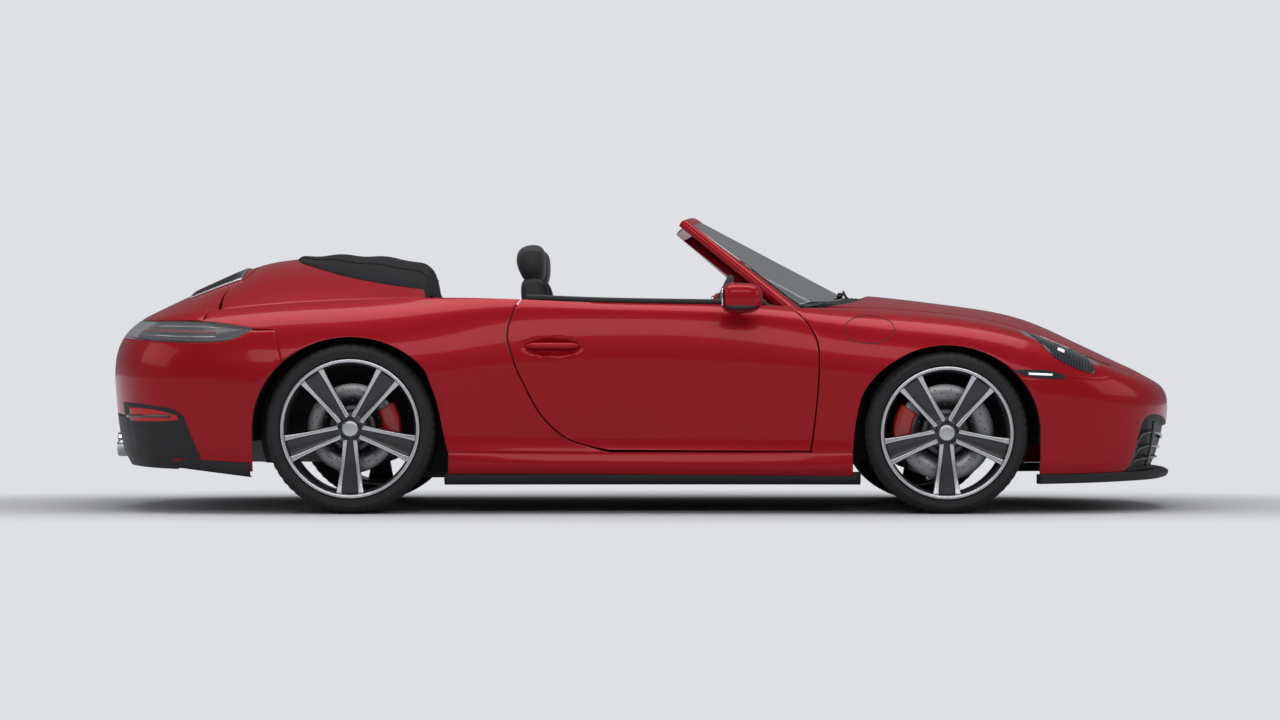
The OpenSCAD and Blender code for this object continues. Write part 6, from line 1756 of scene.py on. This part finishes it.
# name, lower line, upper line, rise, finish, slot, cells across
let_ins = (
    ("lamp_glass_lower", [[1580, 799], [1610, 752], [1655, 698], [1712, 640], [1790, 600],
                          [1866, 575]],
     [[1598, 806], [1652, 790], [1704, 768], [1762, 733], [1830, 676], [1880, 586]],
     0.0028, smoked_glass, "lamp_glass", 8),
    ("lamp_bar_upper", [[1672, 730], [1686, 724], [1700, 718]],
     [[1678, 740], [1692, 734], [1706, 728]], 0.0040, white_guide, "lamp_glass", 4),
    ("lamp_bar_lower", [[1722, 672], [1736, 666], [1750, 660]],
     [[1728, 682], [1742, 676], [1756, 670]], 0.0040, white_guide, "lamp_glass", 4),
    ("side_marker", [[1536, 585], [1580, 568], [1660, 556], [1746, 553]],
     [[1538, 590], [1590, 592], [1670, 590], [1746, 570]], 0.0022, black_plastic,
     "black_plastic", 8),
    ("side_marker_lens", [[1594, 571], [1640, 569], [1693, 567]],
     [[1594, 580], [1640, 578], [1693, 575]], 0.0034, white_guide, "lamp_glass", 3),
    ("tail_black_upper", [[-2150, 366], [-2020, 366], [-1930, 368], [-1868, 374]],
     [[-2160, 457], [-2029, 446], [-1925, 430], [-1878, 400]], 0.0024, black_plastic,
     "black_plastic", 8),
    ("tail_black_lower", [[-2100, 236], [-1990, 230], [-1890, 226], [-1806, 223]],
     [[-2120, 372], [-2020, 370], [-1940, 371], [-1869, 376]], 0.0024, black_plastic,
     "black_plastic", 8),
    # the reflector lens glows red: painted light, as a reflector is no lamp
    ("tail_reflector_lens", [[-2120, 380], [-2030, 379], [-1960, 380], [-1900, 385]],
     [[-2125, 436], [-2030, 430], [-1960, 419], [-1905, 404]], 0.0042, red_guide,
     "lamp_glass", 8))
for made_of in let_ins:
    let_in(*made_of)

ring = np.radians(np.linspace(0, 360, 73))[:, None]
flap_at, flap_size, seam_half = (0.944 + shift_x, 0.758), (0.104, 0.058), 0.0016
rims = []
for grow in (-seam_half, seam_half):
    q = hit(np.concatenate([flap_at[0] + (flap_size[0] + grow) * np.cos(ring),
                            flap_at[1] + (flap_size[1] + grow) * np.sin(ring)], 1))
    rims.append((side(q) + 0.0004 * side_normal(q)) * flip_y)
at = np.stack(rims, 1)
flap = tidied(plate("fuel_flap_seam", at, at + [0, 0.003, 0], black_plastic))
fit(flap, "body", "black_plastic")

for s, hand in sides:
    x = np.linspace(-0.805, 0.908, 60)[:, None] + shift_x
    y = s * (np.abs(side(hit(np.concatenate([x, 0 * x + 0.19], 1)))[:, 1:2]) - 0.030)
    bend = np.array([[0.0, 0.168], [0.004, 0.150], [-0.002, 0.132], [-0.030, 0.118],
                     [-0.110, 0.118]])
    outer = np.stack([np.concatenate([x, y + s * b[0], 0 * x + b[1]], 1) for b in bend], 1)
    strip = tidied(plate(f"sill_strip_{hand}", outer, outer + [0, -0.004 * s, 0.004],
                         black_plastic))
    fit(strip, "body", "black_plastic")
    x = np.linspace(-1.905, -1.600, 24)[:, None] + shift_x
    y = s * np.abs(side(hit(np.concatenate([x, 0 * x + 0.215], 1)))[:, 1:2])
    high = np.interp(x, [-1.9, -1.6], [0.226, 0.206])
    low = np.interp(x, [-1.9, -1.6], [0.186, 0.150])
    outer = np.stack([np.concatenate([x, y + s * o, low + (high - low) * t], 1)
                      for t, o in ((1, 0.003), (0.6, 0.004), (0.25, 0.001), (0, -0.012),
                                   (0, -0.060))], 1)
    strip = tidied(plate(f"rear_strip_{hand}", outer, outer + [0, -0.0045 * s, 0.003],
                         black_plastic))
    fit(strip, "body", "black_plastic")

# ---- Wheelhouse walls --------------------------------------------------------------------------
# Pressed inner walls of the wheelhouses, sealed in black, with swages running out from the axle.
wall_foot = 0.14
for end, x, r, y_in in (("front", front_x, front_r, 0.468), ("rear", rear_x, rear_r, 0.560)):
    a = np.radians(np.linspace(-22, 202, 65))[:, None]
    rho = np.linspace(0.05, r + 0.052, 13)[None]
    swage = 0.004 * np.cos(a * 9) * np.sin(np.pi * (rho - 0.05) / (r + 0.002))
    for s, hand in sides:
        face = np.stack([x + rho * np.cos(a), s * (y_in + swage),
                         r + np.maximum(rho * np.sin(a), wall_foot - r)], -1)
        wall = tidied(plate(f"{end}_wheelhouse_{hand}", face, face - [0, 0.003 * s, 0], underseal))
        fit(wall, "body", "structure")

# ---- Floor, light and camera -------------------------------------------------------------------
# A pale studio floor under one large soft light overhead, a second on the near side and a weaker
# one at either end.
backdrop_tone = (0.73, 0.745, 0.775, 1)
floor_mesh = bpy.data.meshes.new("studio_floor")
floor_mesh.from_pydata([(-60, -60, 0), (60, -60, 0), (60, 90, 0), (-60, 90, 0)], [], [(0, 1, 2, 3)])
studio_floor = bpy.data.objects.new("studio_floor", floor_mesh)
bpy.context.scene.collection.objects.link(studio_floor)
floor_finish, tree, shader = material("floor_finish")
speck = node(tree, "TexNoise", {"Scale": 30.0, "Detail": 4.0},
             Vector=node(tree, "TexCoord").outputs["Object"])
shade = node(tree, "ValToRGB", {}, Fac=speck.outputs["Fac"])
shade.color_ramp.elements[0].color = (0.52, 0.53, 0.55, 1)
shade.color_ramp.elements[1].color = (0.56, 0.57, 0.59, 1)
dress(tree, shader, {"Base Color": shade.outputs["Color"], "Roughness": 0.8,
                     "Specular IOR Level": 0.1})
# further from the car the floor fades into the backdrop's own shade, so that no horizon shows
squeezed = node(tree, "VectorMath", {"operation": "MULTIPLY", 1: (0.44, 1.0, 1.0)},
                in0=node(tree, "TexCoord").outputs["Object"])
apart = node(tree, "VectorMath", {"operation": "LENGTH"}, in0=squeezed.outputs[0])
fade = node(tree, "MapRange", {1: 1.0, 2: 2.1, "interpolation_type": "SMOOTHSTEP"},
            in0=apart.outputs["Value"])
glow = node(tree, "Emission", {"Color": backdrop_tone})
blend_out = node(tree, "MixShader", {}, in0=fade.outputs[0], in1=shader.outputs[0],
                 in2=glow.outputs[0])
tree.links.new(blend_out.outputs[0], tree.nodes["Material Output"].inputs["Surface"])
floor_mesh.materials.append(floor_finish)


def soft_light(name, place, turn, size, power):
    lamp = bpy.data.lights.new(name, "AREA")
    lamp.shape = "RECTANGLE"
    lamp.size, lamp.size_y, lamp.energy = size[0], size[1], power
    obj = bpy.data.objects.new(name, lamp)
    obj.location = place
    obj.rotation_euler = turn
    bpy.context.scene.collection.objects.link(obj)


soft_light("overhead", (0, -0.6, 5.2), (0, 0, 0), (7.5, 3.2), 250)
soft_light("near_side", (0.5, -8.0, 4.2), (np.radians(62), 0, 0), (9.0, 2.4), 190)
soft_light("tail_side", (-7.0, -2.0, 3.0), (0, np.radians(-65), 0), (3.0, 4.5), 60)
soft_light("nose_side", (7.0, -2.0, 3.0), (0, np.radians(65), 0), (3.0, 4.5), 60)

world = bpy.data.worlds.new("studio")
bpy.context.scene.world = world
world.use_nodes = True
tree = world.node_tree
sky = tree.nodes["Background"]
sky.inputs["Color"].default_value = (0.80, 0.82, 0.86, 1)
sky.inputs["Strength"].default_value = 0.22
backdrop = tree.nodes.new("ShaderNodeBackground")
backdrop.inputs["Color"].default_value = backdrop_tone
path = tree.nodes.new("ShaderNodeLightPath")
choose = tree.nodes.new("ShaderNodeMixShader")
tree.links.new(path.outputs["Is Camera Ray"], choose.inputs[0])
tree.links.new(sky.outputs[0], choose.inputs[1])
tree.links.new(backdrop.outputs[0], choose.inputs[2])
tree.links.new(choose.outputs[0], tree.nodes["World Output"].inputs["Surface"])

camera = bpy.data.objects.new("camera", bpy.data.cameras.new("camera"))
camera.data.lens = 100.3
camera.data.sensor_width = 36
camera.location = (shift_x, -15.52, 0.632)
camera.rotation_euler = (np.pi / 2, 0, 0)
bpy.context.scene.collection.objects.link(camera)
bpy.context.scene.camera = camera
bpy.context.scene.view_settings.view_transform = "Standard"
